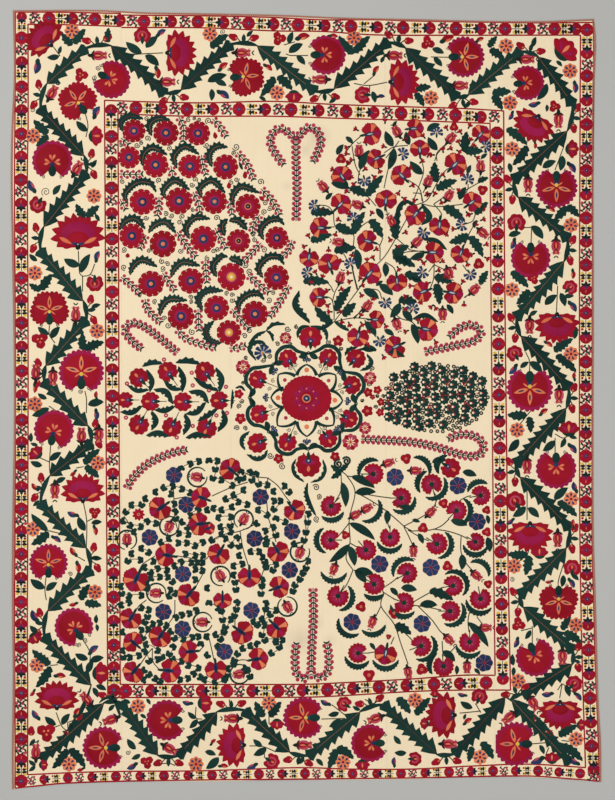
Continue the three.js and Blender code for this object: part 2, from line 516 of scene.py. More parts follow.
def band_tulip(centre, along):
    size = abs(along)
    for turn in (-58, 0, 58):
        lens("umber", centre - 1.0 * along, centre - along * (1.0 + 5.8 * heading(turn)), 3.2 * size)
    angles = np.linspace(0, math.tau, 28, endpoint=False)
    dome = 6.3 * size * (1 - 0.32 * np.maximum(0, -np.cos(angles)) ** 2)
    disc("crimson", centre + 1.6 * along, np.roll(dome, round(np.angle(along) / math.tau * 28)))
    lens("magenta", centre + along * (0.2 - 4.2j), centre + along * (0.2 + 4.2j), 3.6 * size, layer=1)
    lens("indigo", centre - 2.6 * along, centre + 1.8 * along, 2.6 * size, layer=2)
    lens("salmon", centre + 1.8 * along, centre + 5.4 * along, 1.6 * size, layer=2, full=0.6)


# place along the cell, place across it, turn
SPRIG_DASHES = [
    (-3.6, 3.4, 35), (-0.6, -3.8, 40), (0.4, 0.6, -50), (2.8, -2.4, -45), (3.6, 3.2, 30),
    (-4.0, -1.2, -40), (-1.4, 4.8, -20), (4.4, -4.4, 60), (-1.8, 0.8, 62), (2.2, 1.6, 75),
]
SPRIG_BERRIES = [(-1.6, 2.6), (1.4, 4.6), (-3.4, -4.0), (1.0, -1.6), (4.6, 0.4)]


def band_sprig(centre, along):
    for ahead, aside, turn in SPRIG_DASHES:
        middle = centre + along * complex(ahead, aside)
        half = 2.0 * along * heading(turn)
        lens("green", middle - half, middle + half, 2.0 * abs(along))
    for ahead, aside in SPRIG_BERRIES:
        disc("rose", centre + along * complex(ahead, aside), 1.7 * abs(along))


def band_side(rosettes, along):
    """One side of a band: rosettes in clockwise order, and the cells between them."""
    for i, centre in enumerate(rosettes):
        band_rosette(centre, along)
        if i + 1 < len(rosettes):
            way = rosettes[i + 1] - centre
            ahead = way / abs(way) * abs(along)
            band_knot(centre + 0.24 * way, ahead)
            band_tulip(centre + 0.47 * way, ahead)
            band_sprig(centre + 0.755 * way, ahead)


def on_line(lines, first, second, places, upright):
    """Centres between two lines of a band at places along it."""
    pairs = [np.array(lines[k], float) for k in (first, second)]
    key, other = (1, 0) if upright else (0, 1)
    mids = sum(np.interp(places, pair[:, key], pair[:, other]) for pair in pairs) / 2
    return [spot(m, p) if upright else spot(p, m) for p, m in zip(places, mids)]


OUTER_LEFT = [781, 739, 693, 647, 602, 554, 509, 465, 420, 371, 323, 278, 228, 180, 134, 87, 38]
OUTER_TOP = [49, 95, 144, 198, 248.5, 298, 351, 403, 456, 505, 554.5]
OUTER_RIGHT = [30, 76, 124.5, 170.6, 218, 265, 313, 362, 410, 456, 502, 550, 599, 650, 698, 746]
OUTER_BOTTOM = [580, 538, 493, 449, 401, 352.5, 305, 259, 212, 164, 116, 68, 20]
INNER_LEFT = [690, 645, 597, 550, 500, 447.5, 396, 343, 292, 239, 188, 136.6]
INNER_TOP = [136, 187, 239, 291, 346, 401, 455.5]
INNER_RIGHT = [133, 183, 234, 289, 344, 395, 448, 501, 552, 604, 654]
INNER_BOTTOM = [486, 434, 379, 327.5, 278, 227, 177, 126]

band_side(on_line(OUTER_BAND_LINES, 0, 1, OUTER_LEFT, True), 1j)
top_left = on_line(OUTER_BAND_LINES, 2, 4, [x for x in OUTER_TOP if x < 121], False)
top_right = on_line(OUTER_BAND_LINES, 3, 5, [x for x in OUTER_TOP if x > 121], False)
band_side(top_left + top_right, 1)
band_side(on_line(OUTER_BAND_LINES, 6, 7, OUTER_RIGHT, True), -1j)
band_side(on_line(OUTER_BAND_LINES, 8, 9, OUTER_BOTTOM, False), -0.78)
band_side(on_line(INNER_BAND_LINES, 0, 1, INNER_LEFT, True), 1j)
band_side(on_line(INNER_BAND_LINES, 2, 3, INNER_TOP, False), 1)
band_side(on_line(INNER_BAND_LINES, 4, 5, INNER_RIGHT, True), -1j)
band_side(on_line(INNER_BAND_LINES, 6, 7, INNER_BOTTOM, False), -1)
# The cells that fill the corners: kind, x, y, the way it runs
CORNER_CELLS = [
    (band_knot, 592.8, 757.4, -1j), (band_tulip, 593.6, 767.2, -1j), (band_sprig, 593, 775.4, -1j),
    (band_knot, 21.8, 27.4, 0.8j), (band_sprig, 34.6, 18.4, 1), (band_tulip, 21.8, 18.6, 0.86j),
    (band_knot, 564, 29, 1), (band_tulip, 574, 29, 1), (band_tulip, 502.8, 677, -1j),
    (band_knot, 502.4, 666, -1j), (band_knot, 111.4, 124, 1j), (band_tulip, 111.2, 112, 1j),
    (band_sprig, 122, 108, 1), (band_knot, 468, 116, 1), (band_tulip, 479, 117, 1),
    (band_sprig, 494, 117, 1),
]
for cell, x, y, along in CORNER_CELLS:
    cell(spot(x, y), along)

# The vine of the wide border: long saw-edged leaves in dark green silk, laid end to end in a
# zigzag round the cover, each with a thin midrib couched over it, and spindle stems at the turns.
LEAF_WIDTH = 19.6
TOOTH_STEP = 9.6


def vine_leaf(stalk, tip, width, teeth):
    """A bare point, then teeth that rise towards the tip of the leaf and drop sharply."""
    t, reach = [0.0, 0.09, 0.2], [0.05, 0.52, 1.0]
    for last, here in zip(np.linspace(0.2, 1, teeth)[:-1], np.linspace(0.2, 1, teeth)[1:]):
        for share, rise in [(0.1, 0.5), (0.4, 0.62), (0.7, 0.8), (1.0, 1.0)]:
            t.append(last + share * (here - last))
            reach.append(rise * (1 - 0.26 * here**2))
    t, reach = np.array(t), np.array(reach)
    wobble = 1 + 0.09 * np.sin(7 * t + stalk.real)
    spine = stalk + (tip - stalk) * (t + 0.05j * t * (1 - t))
    strip("green", spine, width / 2 * reach * wobble, width / 2 * reach * (2 - wobble))


# from x, y, to x, y, silk of the midrib
VINE_LEAVES = [
    (111, 46, 164, 93, "crimson"), (181, 90, 230, 45, "crimson"),
    (257, 46, 314, 91, "salmon"), (334, 89, 388, 43, "salmon"),
    (405, 48, 456, 97, "crimson"), (468, 95, 520, 52, "salmon"),
    (538, 57, 572, 103, "salmon"), (567, 131, 514, 179, "salmon"),
    (518, 197, 567, 238, "salmon"), (564, 261, 517, 317, "salmon"),
    (521, 336, 568, 387, "salmon"), (566, 408, 516, 463, "salmon"),
    (520, 477, 569, 527, "salmon"), (566, 548, 520, 594, "salmon"),
    (523, 607, 572, 650, "salmon"), (572, 664, 524, 694, "salmon"),
    (511, 699, 569, 762, "salmon"), (505, 697, 455, 753, "crimson"),
    (437, 754, 384, 705, "crimson"), (360, 712, 309, 755, "salmon"),
    (290, 752, 246, 711, "salmon"), (217, 712, 179, 755, "salmon"),
    (158, 755, 122, 703, "crimson"), (104, 703, 42, 758, "salmon"),
    (91, 685, 45, 637, "salmon"), (48, 611, 90, 570, "salmon"),
    (86, 548, 41, 504, "salmon"), (50, 476, 91, 444, "salmon"),
    (88, 426, 45, 382, "salmon"), (46, 366, 86, 321, "salmon"),
    (83, 301, 41, 251, "salmon"), (44, 227, 86, 174, "salmon"),
    (84, 156, 41, 109, "salmon"), (47, 84, 85, 49, "salmon"),
]
for x, y, tip_x, tip_y, midrib in VINE_LEAVES:
    stalk, tip = spot(x, y), spot(tip_x, tip_y)
    length = abs(tip - stalk)
    vine_leaf(stalk, tip, min(LEAF_WIDTH, 0.36 * length), round(length / TOOTH_STEP))
    rib = np.linspace(stalk + 0.01 * (tip - stalk), stalk + 0.86 * (tip - stalk), 8)
    strip(midrib, rib, 0.36, layer=1)

# A spindle of green silk joins each leaf to the next, and on the outer side of every turn two
# small red bells and a leaf stand on thin stems of olive chain stitch.
SPINDLE_WIDTH = 5.4
SPINDLE_SWELL = np.array([0.6, 0.55, 0.6, 0.78, 0.95, 1, 0.88, 0.55, 0.2])
STEM_WIDTH = 1.2


def bell(centre, turn, size=5.9):
    """A small red bell that opens along its heading, with an orange eye at its stem."""
    angles = np.linspace(0, math.tau, 24, endpoint=False) - np.radians(turn)
    front = np.maximum(0, np.cos(angles))
    reach = size * (0.62 + front * 0.42 * np.abs(np.cos(1.5 * angles)) ** 1.5)
    disc("crimson", centre, reach)
    disc("salmon", centre - 0.34 * size * heading(turn), 0.2 * size, layer=1)


for here, there in zip(VINE_LEAVES, VINE_LEAVES[1:] + VINE_LEAVES[:1]):
    tip, stalk = spot(here[2], here[3]), spot(there[0], there[1])
    legs = (spot(here[0], here[1]) + spot(there[2], there[3])) / 2
    middle = (tip + stalk) / 2
    along = (stalk - tip) / abs(stalk - tip)
    side = 1 if ((middle - legs) * np.conj(along)).imag > 0 else -1
    strip("green", bowed(tip - along, stalk + along, 0.08 * side, 9), SPINDLE_WIDTH / 2 * SPINDLE_SWELL)
    out = 1j * side * along
    for lean in (-1, 1):
        seat = middle + out * (5.8 if middle.real > 500 else 7.6) + along * 9.6 * lean
        bend = middle + 4.5 * out + 4 * lean * along
        line("olive", [middle + 1.5 * out, bend, seat - 3 * lean * along], STEM_WIDTH)
        bell(seat, math.degrees(np.angle(along * lean + 0.35 * out)))
    lens("green", middle + 3 * out, middle + 11.5 * out, 4.4)

# The large border flowers. A pom is a scalloped crimson disc with a magenta rim, a star has an
# orange star of petals laid over it, and a lotus is a fan of points. Each opens from a calyx.


def facing(reach, turn):
    """Reaches that were given from a calyx at angle nought, turned to where the calyx is."""
    return np.roll(reach, round(turn / 360 * len(reach)))


def notched(reach, opening, depth, count=96):
    """A round outline with a wedge open towards angle nought."""
    angles = np.abs((np.linspace(0, 360, count, endpoint=False) + 180) % 360 - 180)
    return reach * np.clip(np.interp(angles, [0, opening, opening + 14], [depth, depth + 0.25, 1]), 0, 1)


def oval(silk, centre, turn, half_length, half_width, layer):
    """An oval patch that is longest along its heading."""
    angles = np.linspace(0, math.tau, 28, endpoint=False) - np.radians(turn)
    reach = 1 / np.hypot(np.cos(angles) / half_length, np.sin(angles) / half_width)
    disc(silk, centre, reach, layer, lay=90 - turn)


def calyx(centre, turn, size):
    way = heading(turn)
    oval("green", centre + 0.52 * size * way, turn, 0.29 * size, 0.2 * size, layer=3)
    disc("indigo", centre + 0.2 * size * way, 0.13 * size, layer=4)
    for side in (-30, 30):
        place = centre + 0.93 * size * heading(turn + side)
        spiral("umber", place, 1.9, 1.3, 0.85, start=turn, flip=side // 30)


def pom(x, y, turn, size=19):
    centre = spot(x, y)
    scallops = lobed(1.04, 22, 0.075, 198)
    disc("magenta", centre, facing(notched(size, 22, 0.35, 198) * scallops, turn), lay=0)
    disc("crimson", centre, facing(notched(0.85 * size, 20, 0.34, 96), turn), layer=1, lay=90)
    for lean in (95, 180, 265):
        way = heading(turn + lean)
        seat = centre + 0.1 * size * (way + heading(turn))
        for side in (-24, 24):
            lens("salmon", seat, seat + 0.34 * size * way * heading(side), 0.17 * size, layer=2, full=0.68)
    calyx(centre, turn, size)


def cut_at_seam(reach, room):
    """Reaches that stop at a seam, so far to the right of the centre, or to the left if less than nought."""
    out = np.cos(np.linspace(0, math.tau, len(reach), endpoint=False))
    return np.where(out * room > 0, np.minimum(reach, abs(room) / np.maximum(np.abs(out), 0.01)), reach)


def star(x, y, turn, size=19, rim="magenta", room=99.0):
    centre = spot(x, y)
    folds = lobed(1.03, 5, 0.1, 200) if rim == "crimson" else 1.0
    edge = facing(notched(size, 20, 0.45, 200) * lobed(1.07, 25, 0.09, 200) * folds, turn)
    disc(rim, centre, cut_at_seam(edge, room), lay=30)
    face = facing(notched(0.86 * size, 18, 0.45, 96), turn)
    disc("crimson", centre, cut_at_seam(face, room), layer=1, lay=60)
    for lean in (106, 180, 254):
        way = heading(turn + lean)
        lens("salmon", centre + 0.08 * size * way, centre + 0.76 * size * way, 0.28 * size, layer=2)
        lens("indigo", centre + 0.26 * size * way, centre + 0.58 * size * way, 0.11 * size, layer=3)
    for lean in (52, 308):
        way = heading(turn + lean)
        lens("salmon", centre + 0.1 * size * way, centre + 0.4 * size * way, 0.1 * size, layer=2)
    calyx(centre, turn, size)
    disc("yellow", centre + 0.1 * size * heading(turn), 0.11 * size, layer=5)


def lotus(x, y, turn, size=20):
    centre, way = spot(x, y), heading(turn)
    angles = np.abs((np.linspace(0, 360, 170, endpoint=False) + 180) % 360 - 180)
    notch = 1 - np.abs(1 - 2 * ((angles / 360 * 17) % 1))
    points = 1 - 0.21 * notch * np.interp(angles, [48, 66], [0.3, 1])
    bowl_reach = [0.5, 0.54, 0.76, 1.0, 1.2, 1.17, 1.06, 1.0]
    bowl = np.interp(angles, [0, 24, 44, 60, 80, 104, 140, 180], bowl_reach)
    disc("crimson", centre, facing(size * bowl * points, turn), lay=0)
    oval("magenta", centre - 0.16 * size * way, turn + 90, 0.74 * size, 0.44 * size, layer=1)
    oval("crimson", centre + 0.1 * size * way, turn + 90, 0.46 * size, 0.3 * size, layer=2)
    for side in (1, -1):
        foot = centre + size * way * (0.36 + 0.2j * side)
        lens("salmon", foot, centre + size * way * (0.06 + 0.8j * side), 0.2 * size, layer=3, full=0.6)
        tip = foot + 0.1 * size * way * (1j * side - 0.6)
        lens("indigo", centre + 0.36 * size * way, tip, 0.14 * size, layer=4)
    oval("umber", centre + 0.44 * size * way, turn, 0.16 * size, 0.12 * size, layer=4)
    disc("pale", centre + 0.36 * size * way, 0.05 * size, layer=5)


# flower, x, y, angle of its calyx, reach
BORDER_FLOWERS = [
    (pom, 111.6, 79.6, 155, 18.6), (star, 77.6, 101.6, 305, 18.6, "crimson"), (lotus, 45, 39, 315, 19),
    (lotus, 177, 53, 180, 20), (pom, 52.4, 160.6, 270, 19.8), (star, 245, 76.6, 185, 18.8, "crimson"),
    (pom, 326, 55, 180, 19.4), (lotus, 400, 82, 180, 20), (star, 464, 57, 180, 19.5),
    (pom, 527, 83, 185, 17), (lotus, 534, 124, 60, 19), (star, 556.4, 187, 90, 20),
    (pom, 530.6, 258, 90, 19.4), (lotus, 557, 324, 90, 20), (star, 529.8, 388.6, 90, 22),
    (pom, 556, 468.4, 90, 19.8), (lotus, 530, 533, 90, 20), (star, 558.6, 600.6, 90, 18.6, "crimson"),
    (pom, 535, 657, 110, 19), (lotus, 560, 711, 90, 19), (star, 515.4, 743.8, 0, 21, "magenta", -20),
    (lotus, 445, 715, 0, 20), (pom, 370, 743, 0, 18.6), (star, 304, 717.6, 0, 20),
    (lotus, 235, 745, 0, 19), (pom, 166.6, 720, 0, 20), (star, 104, 747.6, 0, 20.4, "magenta", 17.4),
    (lotus, 57, 699, 270, 19), (pom, 74, 627, 305, 19), (star, 48.6, 563, 270, 18.4),
    (lotus, 83, 492, 270, 19), (pom, 54, 430, 258, 19.6), (star, 81.4, 372, 270, 21.6),
    (star, 49.6, 310, 270, 18.6, "crimson"), (lotus, 78, 236, 270, 23.4),
]
for flower, x, y, turn, size, *rim in BORDER_FLOWERS:
    flower(x, y, turn, size, *rim)


def orange_rosette(x, y):
    centre, size = spot(x, y), 7.8
    disc("salmon", centre, lobed(size, 8, 0.16, 48))
    for k in range(7):
        way = heading(90 + k * 360 / 7)
        lens("indigo", centre + 0.26 * size * way, centre + 0.8 * size * way, 0.36 * size, layer=1, full=0.66)
    disc("crimson", centre, 0.22 * size, layer=2)


ORANGE_ROSETTES = [
    (72, 31), (33, 136), (94, 196), (35, 273), (97, 331), (35, 404), (98, 463), (33, 529), (95, 592),
    (37, 665), (69, 764), (138, 706), (196, 764), (269, 703), (343, 762), (415, 700), (480, 757),
    (518, 681), (576, 739), (576, 625), (517, 430), (571, 499), (514, 566), (571, 225), (512, 290),
    (571, 354), (506, 46), (510, 103), (570, 71), (512, 149), (431, 98), (354, 38), (277, 93), (210, 34),
]
for x, y in ORANGE_ROSETTES:
    orange_rosette(x, y)

# The star medallion in the middle of the field: a crimson disc in an eight-petalled green star,
# inside a frame of eight green arches with a flower in each and a blue trefoil at each petal tip.
HEART = spot(306.5, 398.4)
ROUND = np.exp(2j * np.pi * np.arange(120) / 120)
disc("crimson", HEART, lobed(1.0, 36, 0.035, 120) * (24.3 + 1.1 * (ROUND**2).real), lay=90)
disc("magenta", HEART, lobed(14, 8, 0.2, 64, shift=math.pi), layer=1)
for k in range(8):
    disc("salmon", HEART + 9.8 * heading(45 * k), 1.15, layer=2)
disc("crimson", HEART, 7.2, layer=2)
disc("salmon", HEART, 4.9, layer=3)
disc("indigo", HEART, 3.6, layer=4)
disc("pale", HEART, 1.5, layer=5)

# x, y of the tip of each petal of the star and of each cusp of the frame, counter-clockwise from the right
PETAL_TIPS = [
    (342.6, 400.8), (335.6, 375), (306.7, 364.6), (278.4, 374.6), (271, 397.6), (277.6, 425.6),
    (306.8, 436.4), (333.4, 425),
]
CUSPS = [
    (355, 403.6), (342.4, 371.8), (308.6, 354), (274, 365), (250.6, 397.6), (269.4, 431), (308, 448),
    (340.5, 431),
]
# x, y of the flower in each arch
ARCH_FLOWERS = [
    (351.8, 385), (328, 358), (288, 358.6), (258, 379.4), (259.6, 414), (287.4, 442), (328, 438.6),
    (348.6, 418.6),
]


def trefoil(centre, turn):
    for lean in (-78, 0, 78):
        disc("indigo", centre + 2.5 * heading(turn + lean), 1.9)
        disc("pale", centre + 2.5 * heading(turn + lean), 0.6, layer=1)
    lens("green", centre - 2.6 * heading(turn), centre + 1.0 * heading(turn), 1.6, layer=1)


def ragged_flower(centre, turn, size):
    """A red flower with a torn rim, hung from its stem by a green calyx beside a blue eye."""
    way = heading(turn)
    disc("crimson", centre, lobed(1.08 * size, 10, 0.13, 70) * facing(notched(1.0, 15, 0.5, 70), turn))
    low, high = centre + size * way * (0.2 - 0.62j), centre + size * way * (0.2 + 0.62j)
    lens("magenta", low, high, 0.62 * size, layer=1)
    lens("salmon", centre - 0.62 * size * way, centre - 0.08 * size * way, 0.34 * size, layer=2, full=0.4)
    for side in (-30, 30):
        tip = centre + 1.1 * size * way * heading(0.8 * side)
        lens("crimson", centre + 0.5 * size * way * heading(side), tip, 0.22 * size)
    lens("green", centre + 0.4 * size * way, centre + 1.12 * size * way, 0.36 * size, layer=3, full=0.35)
    disc("indigo", centre + 0.32 * size * way, 0.27 * size, layer=3)
    disc("pale", centre + 0.32 * size * way, 0.12 * size, layer=4)


for k in range(8):
    tip, cusp, next_cusp = spot(*PETAL_TIPS[k]), spot(*CUSPS[k]), spot(*CUSPS[(k + 1) % 8])
    ray = math.degrees(np.angle(tip - HEART))
    for side in (1, -1):
        dip = HEART + 25.4 * heading(ray + 22.5 * side)
        strip("green", bowed(dip, tip, 0.13 * side, 10), np.linspace(1.9, 0.8, 10))
    disc("salmon" if k % 2 == 0 else "rose", HEART + 28.4 * heading(ray), 2.5 if k % 2 == 0 else 2.0)
    trefoil(tip + 4.2 * heading(ray), ray)
    half = math.degrees(np.angle((cusp + next_cusp) / 2 - HEART))
    flower = spot(*ARCH_FLOWERS[k])
    out = math.degrees(np.angle(flower - HEART))
    hoop = [flower + 12.2 * heading(out + lean) for lean in (-78, -40, 0, 40, 78)]
    arch = curve([cusp, *hoop, next_cusp], 37)
    strip("green", arch, 0.4 + 1.75 * np.sin(np.pi * np.linspace(0.04, 0.96, 37)) ** 0.5)
    stem = HEART + 27 * heading(half)
    ragged_flower(flower, math.degrees(np.angle(stem - flower)), 9.0)
    line("olive", [stem, stem + 0.6 * (flower - stem)], 0.8)
    for side in (-1, 1):
        place = stem + (flower - stem) * (0.42 + 0.17j * side)
        spiral("umber", place, 2.2, 1.4, 0.75, start=half + 90 * side, flip=side)
        out = math.degrees(np.angle(cusp - HEART))
        leaf_tip = cusp - 3.5 * heading(out) + 10 * heading(out + 90 * side)
        lens("green", cusp + 3 * heading(out), leaf_tip, 6.0, bow=0.12 * side, full=0.6)


def daisy(x, y, size):
    """A small flower of separate red and rose petals round a dark eye."""
    centre = spot(x, y)
    for k in range(9):
        way = heading(90 + k * 40)
        silk = "crimson" if k % 2 else "rose"
        lens(silk, centre + 0.2 * size * way, centre + size * way, 0.6 * size, full=0.7)
    disc("salmon", centre, 0.24 * size, layer=1)
    disc("umber", centre, 0.14 * size, layer=2)


def eyed_flower(x, y, size, petals=5):
    centre = spot(x, y)
    disc("crimson", centre, lobed(size, petals, 0.3, petals * 10, shift=float(x)))
    disc("salmon", centre, 0.3 * size, layer=1)
    disc("umber", centre, 0.16 * size, layer=2)


# x, y, reach
DAISIES = [(285.5, 338, 6.2), (243, 367, 7.6), (370, 378, 6.8), (350.5, 442, 8.6), (365, 428, 6.6)]
for x, y, size in DAISIES:
    daisy(x, y, size)
EYED_FLOWERS = [
    (338, 341, 5.8), (240.5, 418.5, 5.8), (238.8, 394, 5), (335, 456.5, 5.2), (278.6, 458.6, 5.4),
    (368, 392.4, 5), (367.4, 411, 6), (377.5, 390, 4.6), (381, 402, 4.4), (380, 412.4, 4.4),
    (372.5, 397, 3),
]
for x, y, size in EYED_FLOWERS:
    eyed_flower(x, y, size)
# x, y, angle of its stem, reach
OUTER_FLOWERS = [
    (310.6, 337.5, 270, 11), (308.5, 464.5, 90, 12), (356, 358.5, 225, 9.4), (257.4, 443, 20, 9.6),
]
for x, y, turn, size in OUTER_FLOWERS:
    ragged_flower(spot(x, y), turn, size)


def sickle(points, width, teeth, bare=0.3):
    """A curved leaf along a few points: saw-edged on its left side, smooth on its right."""
    spine = curve([spot(*point) for point in points], teeth * 6 + 1)
    t = np.linspace(0, 1, len(spine))
    body = np.sin(np.pi * np.clip(t, 0.03, 0.985)) ** 0.6
    saw = 0.12 + width * 0.64 * body * saw_edge(t, teeth, 0, 0.42)
    strip("green", spine, saw, 0.12 + width * bare * body)


# width, teeth, points from stalk to tip with the teeth on the left
MEDALLION_SICKLES = [
    (5.0, 5, [(296, 459), (292.6, 466), (295, 475), (304, 482)]),
    (5.0, 5, [(311, 482.5), (320.6, 479), (325.4, 470), (323, 459.5)]),
    (5.6, 5, [(309.5, 326), (302, 327), (298, 332), (297.6, 338)]),
    (5.6, 6, [(327, 341), (326.6, 333), (322, 328), (310.5, 326)]),
    (6.0, 6, [(267.5, 348.5), (262, 342), (253, 343), (249, 350), (256, 360.6)]),
    (6.0, 5, [(249.4, 431.4), (242.4, 437), (241.4, 444), (245, 450)]),
    (6.4, 5, [(247, 454.6), (256, 459.4), (264, 457), (267.6, 450)]),
    (6.0, 5, [(360.5, 370.6), (368, 368), (371.8, 362), (367, 354)]),
    (5.0, 4, [(345, 355.6), (349, 350), (357, 347.6)]),
    (4.6, 3, [(376, 351), (368, 348.6), (358, 349.4)]),
    (6.4, 9, [(316, 515.5), (310, 504), (306.6, 493), (307.6, 483)]),
    (3.6, 3, [(245.4, 391), (241, 386.6), (235.4, 388)]),
    (3.8, 4, [(232.4, 389.6), (232.2, 398), (231, 409)]),
    (5.0, 4, [(266, 331), (274, 324.6), (285.4, 324.4)]),
    (5.2, 5, [(266, 331), (257, 335), (248.4, 344)]),
    (4.4, 3, [(266.6, 331), (271, 334.6), (273, 341.6)]),
]
for width, teeth, points in MEDALLION_SICKLES:
    sickle(points, width, teeth)


def blue_fan(x, y, turn, size=5.8):
    """A little fan of dark blue petals with pale gaps, open away from its stem."""
    centre = spot(x, y)
    disc("pale", centre, facing(notched(0.86 * size, 40, 0.1, 36), turn))
    for k in range(6):
        way = heading(turn + 180 + (k - 2.5) * 250 / 6)
        block = np.linspace(centre + 0.3 * size * way, centre + 1.05 * size * way, 4)
        strip("indigo", block, np.linspace(0.14, 0.29, 4) * size, layer=1)
    disc("salmon", centre, 0.2 * size, layer=2)
    lens("green", centre + 0.9 * size * heading(turn), centre, 0.36 * size, layer=2)


blue_fan(263, 353, 300, 7.6)

# x, y, reach of the little spirals of dark chain stitch about the medallion and its flowers
CURLS = [
    (287.6, 329, 2.8), (296.4, 327, 2), (277.5, 344, 2.2), (290, 344, 2), (246, 357.6, 2),
    (245.6, 375.6, 2.4), (269.4, 356.4, 2.4), (263.6, 360, 2.4), (372.4, 368.6, 2.4), (369, 384.4, 2.4),
    (328, 342.4, 2.4), (341.4, 348.6, 2), (237, 428, 2.6), (245, 428, 2.2), (270.4, 455.6, 3),
    (282.6, 466.4, 3.2), (316, 487.4, 3.2), (319, 496.4, 2.6), (316.6, 519, 3), (260.6, 435.6, 2),
    (264, 438.6, 2.2), (242, 401, 2.2), (239.4, 406, 2.4), (243, 383, 1.8), (362, 400.4, 1.8),
    (377.6, 396, 1.8), (376, 407, 2), (383, 396, 1.8), (383, 408, 1.8), (338.4, 464, 4.2),
    (346.6, 461, 4),
]
for i, (x, y, size) in enumerate(CURLS):
    silk, width = ("umber", 1.15) if size < 4 else ("green", 2.2)
    spiral(silk, spot(x, y), 1.1 * size, 1.6, width, start=77 * i, flip=1 - 2 * (i % 2))

# Berry sprigs: a stem of dark green with pairs of leaflets like arrow heads, and a red ring berry
# on each side of every joint. They fill the outer corners of the field and the gaps of a bouquet.


def berry_sprig(points, joint=5.2, berry=1.9):
    points = [spot(*point) for point in points]
    joints = max(2, round(sum(abs(a - b) for a, b in zip(points, points[1:])) / joint))
    spine = curve(points, joints * 3 + 1)
    strip("umber", spine, 0.55)
    ahead = np.gradient(spine)
    ahead = ahead / np.abs(ahead)
    for k in range(1, joints + 1):
        seat, way = spine[3 * k - 1], ahead[3 * k - 1]
        for side in (1, -1):
            lens("green", seat, seat + 4.3 * way * heading(50 * side), 1.75)
            seed = seat + 1j * side * way * 2.9 - 1.5 * way
            disc("rose", seed, 1.12 * berry, count=10)
            disc("magenta", seed, 0.5 * berry, layer=1, count=8)


SPRIGS = [
    [(296, 221), (297, 190), (296, 160), (296, 139)],
    [(296, 141), (290, 134), (281, 128.6), (273, 133), (270.5, 143), (275, 153), (283.6, 165)],
    [(296, 141), (301.6, 133), (308.6, 127.6), (317, 131), (321, 141), (318, 152), (313, 162)],
    [(313, 588), (313.4, 615), (312, 645), (311, 672)],
    [(311, 674), (303, 678.6), (296.4, 673), (295, 658), (296.4, 643)],
    [(311, 674), (320, 677.6), (327.6, 672), (329, 658), (326.6, 642)],
    [(178, 353), (160, 338), (145, 327), (132, 323), (125, 330), (131, 340), (142, 349)],
    [(126.8, 489), (132, 479), (147.6, 464), (170, 453.6), (187, 449.6)],
    [(424, 352), (453, 346), (474, 341), (481, 332), (472, 325), (460, 328), (449, 337)],
    [(361, 439), (410, 442), (436, 447), (462, 455), (475.6, 456), (483, 451), (482, 442), (472.6, 435.6),
     (459.6, 434.6), (448, 439)],
]
for points in SPRIGS:
    berry_sprig(points)

# The upper left bouquet: scalloped crimson wheels with magenta, blue and orange rings, most with a
# saw-edged leaf that arches over it, and berry sprigs and dark spirals in the gaps.


def wheel(x, y, size, eye):
    centre, size = spot(x, y), 1.06 * size
    disc("crimson", centre, lobed(size, 11, 0.09, 88))
    for k in range(11):
        disc("cream", centre + 0.83 * size * heading((k + 0.5) * 360 / 11), 0.05 * size, layer=1, count=8)
    disc("magenta", centre, lobed(0.52 * size, 11, 0.08, 55), layer=1)
    if eye == "blue":
        rings = [("indigo", 0.36), ("salmon", 0.18)]
    elif eye == "dark":
        rings = [("salmon", 0.3), ("umber", 0.22), ("pale", 0.08)]
    else:
        rings = [("salmon", 0.36), ("yellow", 0.26), ("cream", 0.13)]
    for layer, (silk, share) in enumerate(rings):
        disc(silk, centre, share * size, layer=layer + 2)


# x, y, reach, middle of the wheel
WHEELS = [
    (134, 131, 11.2, "blue"), (166, 133, 12.4, "blue"), (198, 133.4, 11.8, "blue"),
    (129, 157.5, 11, "blue"), (155.6, 165, 12.4, "blue"), (190, 166.5, 11.6, "blue"),
    (225.6, 167, 12.2, "blue"), (142.5, 202, 12.6, "blue"), (179, 201, 13, "blue"),
    (214.6, 201.6, 12.2, "blue"), (248, 206.4, 12.2, "dark"), (132, 236, 12.2, "blue"),
    (163, 244, 13, "blue"), (203.4, 239, 12.8, "blue"), (238.6, 241, 11.4, "dark"),
    (276.8, 238, 11.2, "blue"), (151, 283.8, 12.6, "blue"), (190.8, 281, 12.4, "blue"),
    (231.4, 277, 13.6, "gold"), (276.4, 277.6, 12.2, "blue"), (181, 316.4, 13, "blue"),
    (216.6, 308, 12.2, "blue"), (255, 314, 12.8, "blue"), (229, 332.5, 12, "gold"),
]


def arched_leaf(points, midrib, width=10.0):
    """A crescent over a wheel, with large teeth on its outer side and small ones on its inner side."""
    spine = curve([spot(*point) for point in points], 56)
    length = np.abs(np.diff(spine)).sum()
    teeth = max(5, round(length / 3.6))
    spine = curve([spot(*point) for point in points], teeth * 6 + 1)
    t = np.linspace(0, 1, len(spine))
    body = np.interp(t, [0, 0.1, 0.3, 0.75, 1], [0.12, 0.6, 1, 0.95, 0.2])
    outer = 0.1 + 0.62 * width * body * saw_edge(t, teeth, 0, 0.42)
    inner = 0.1 + 0.42 * width * body * saw_edge(t, teeth, 0.5, 0.36)
    strip("green", spine, outer, inner)
    strip(midrib, spine[4:-round(0.2 * len(spine))], 0.42, layer=1)


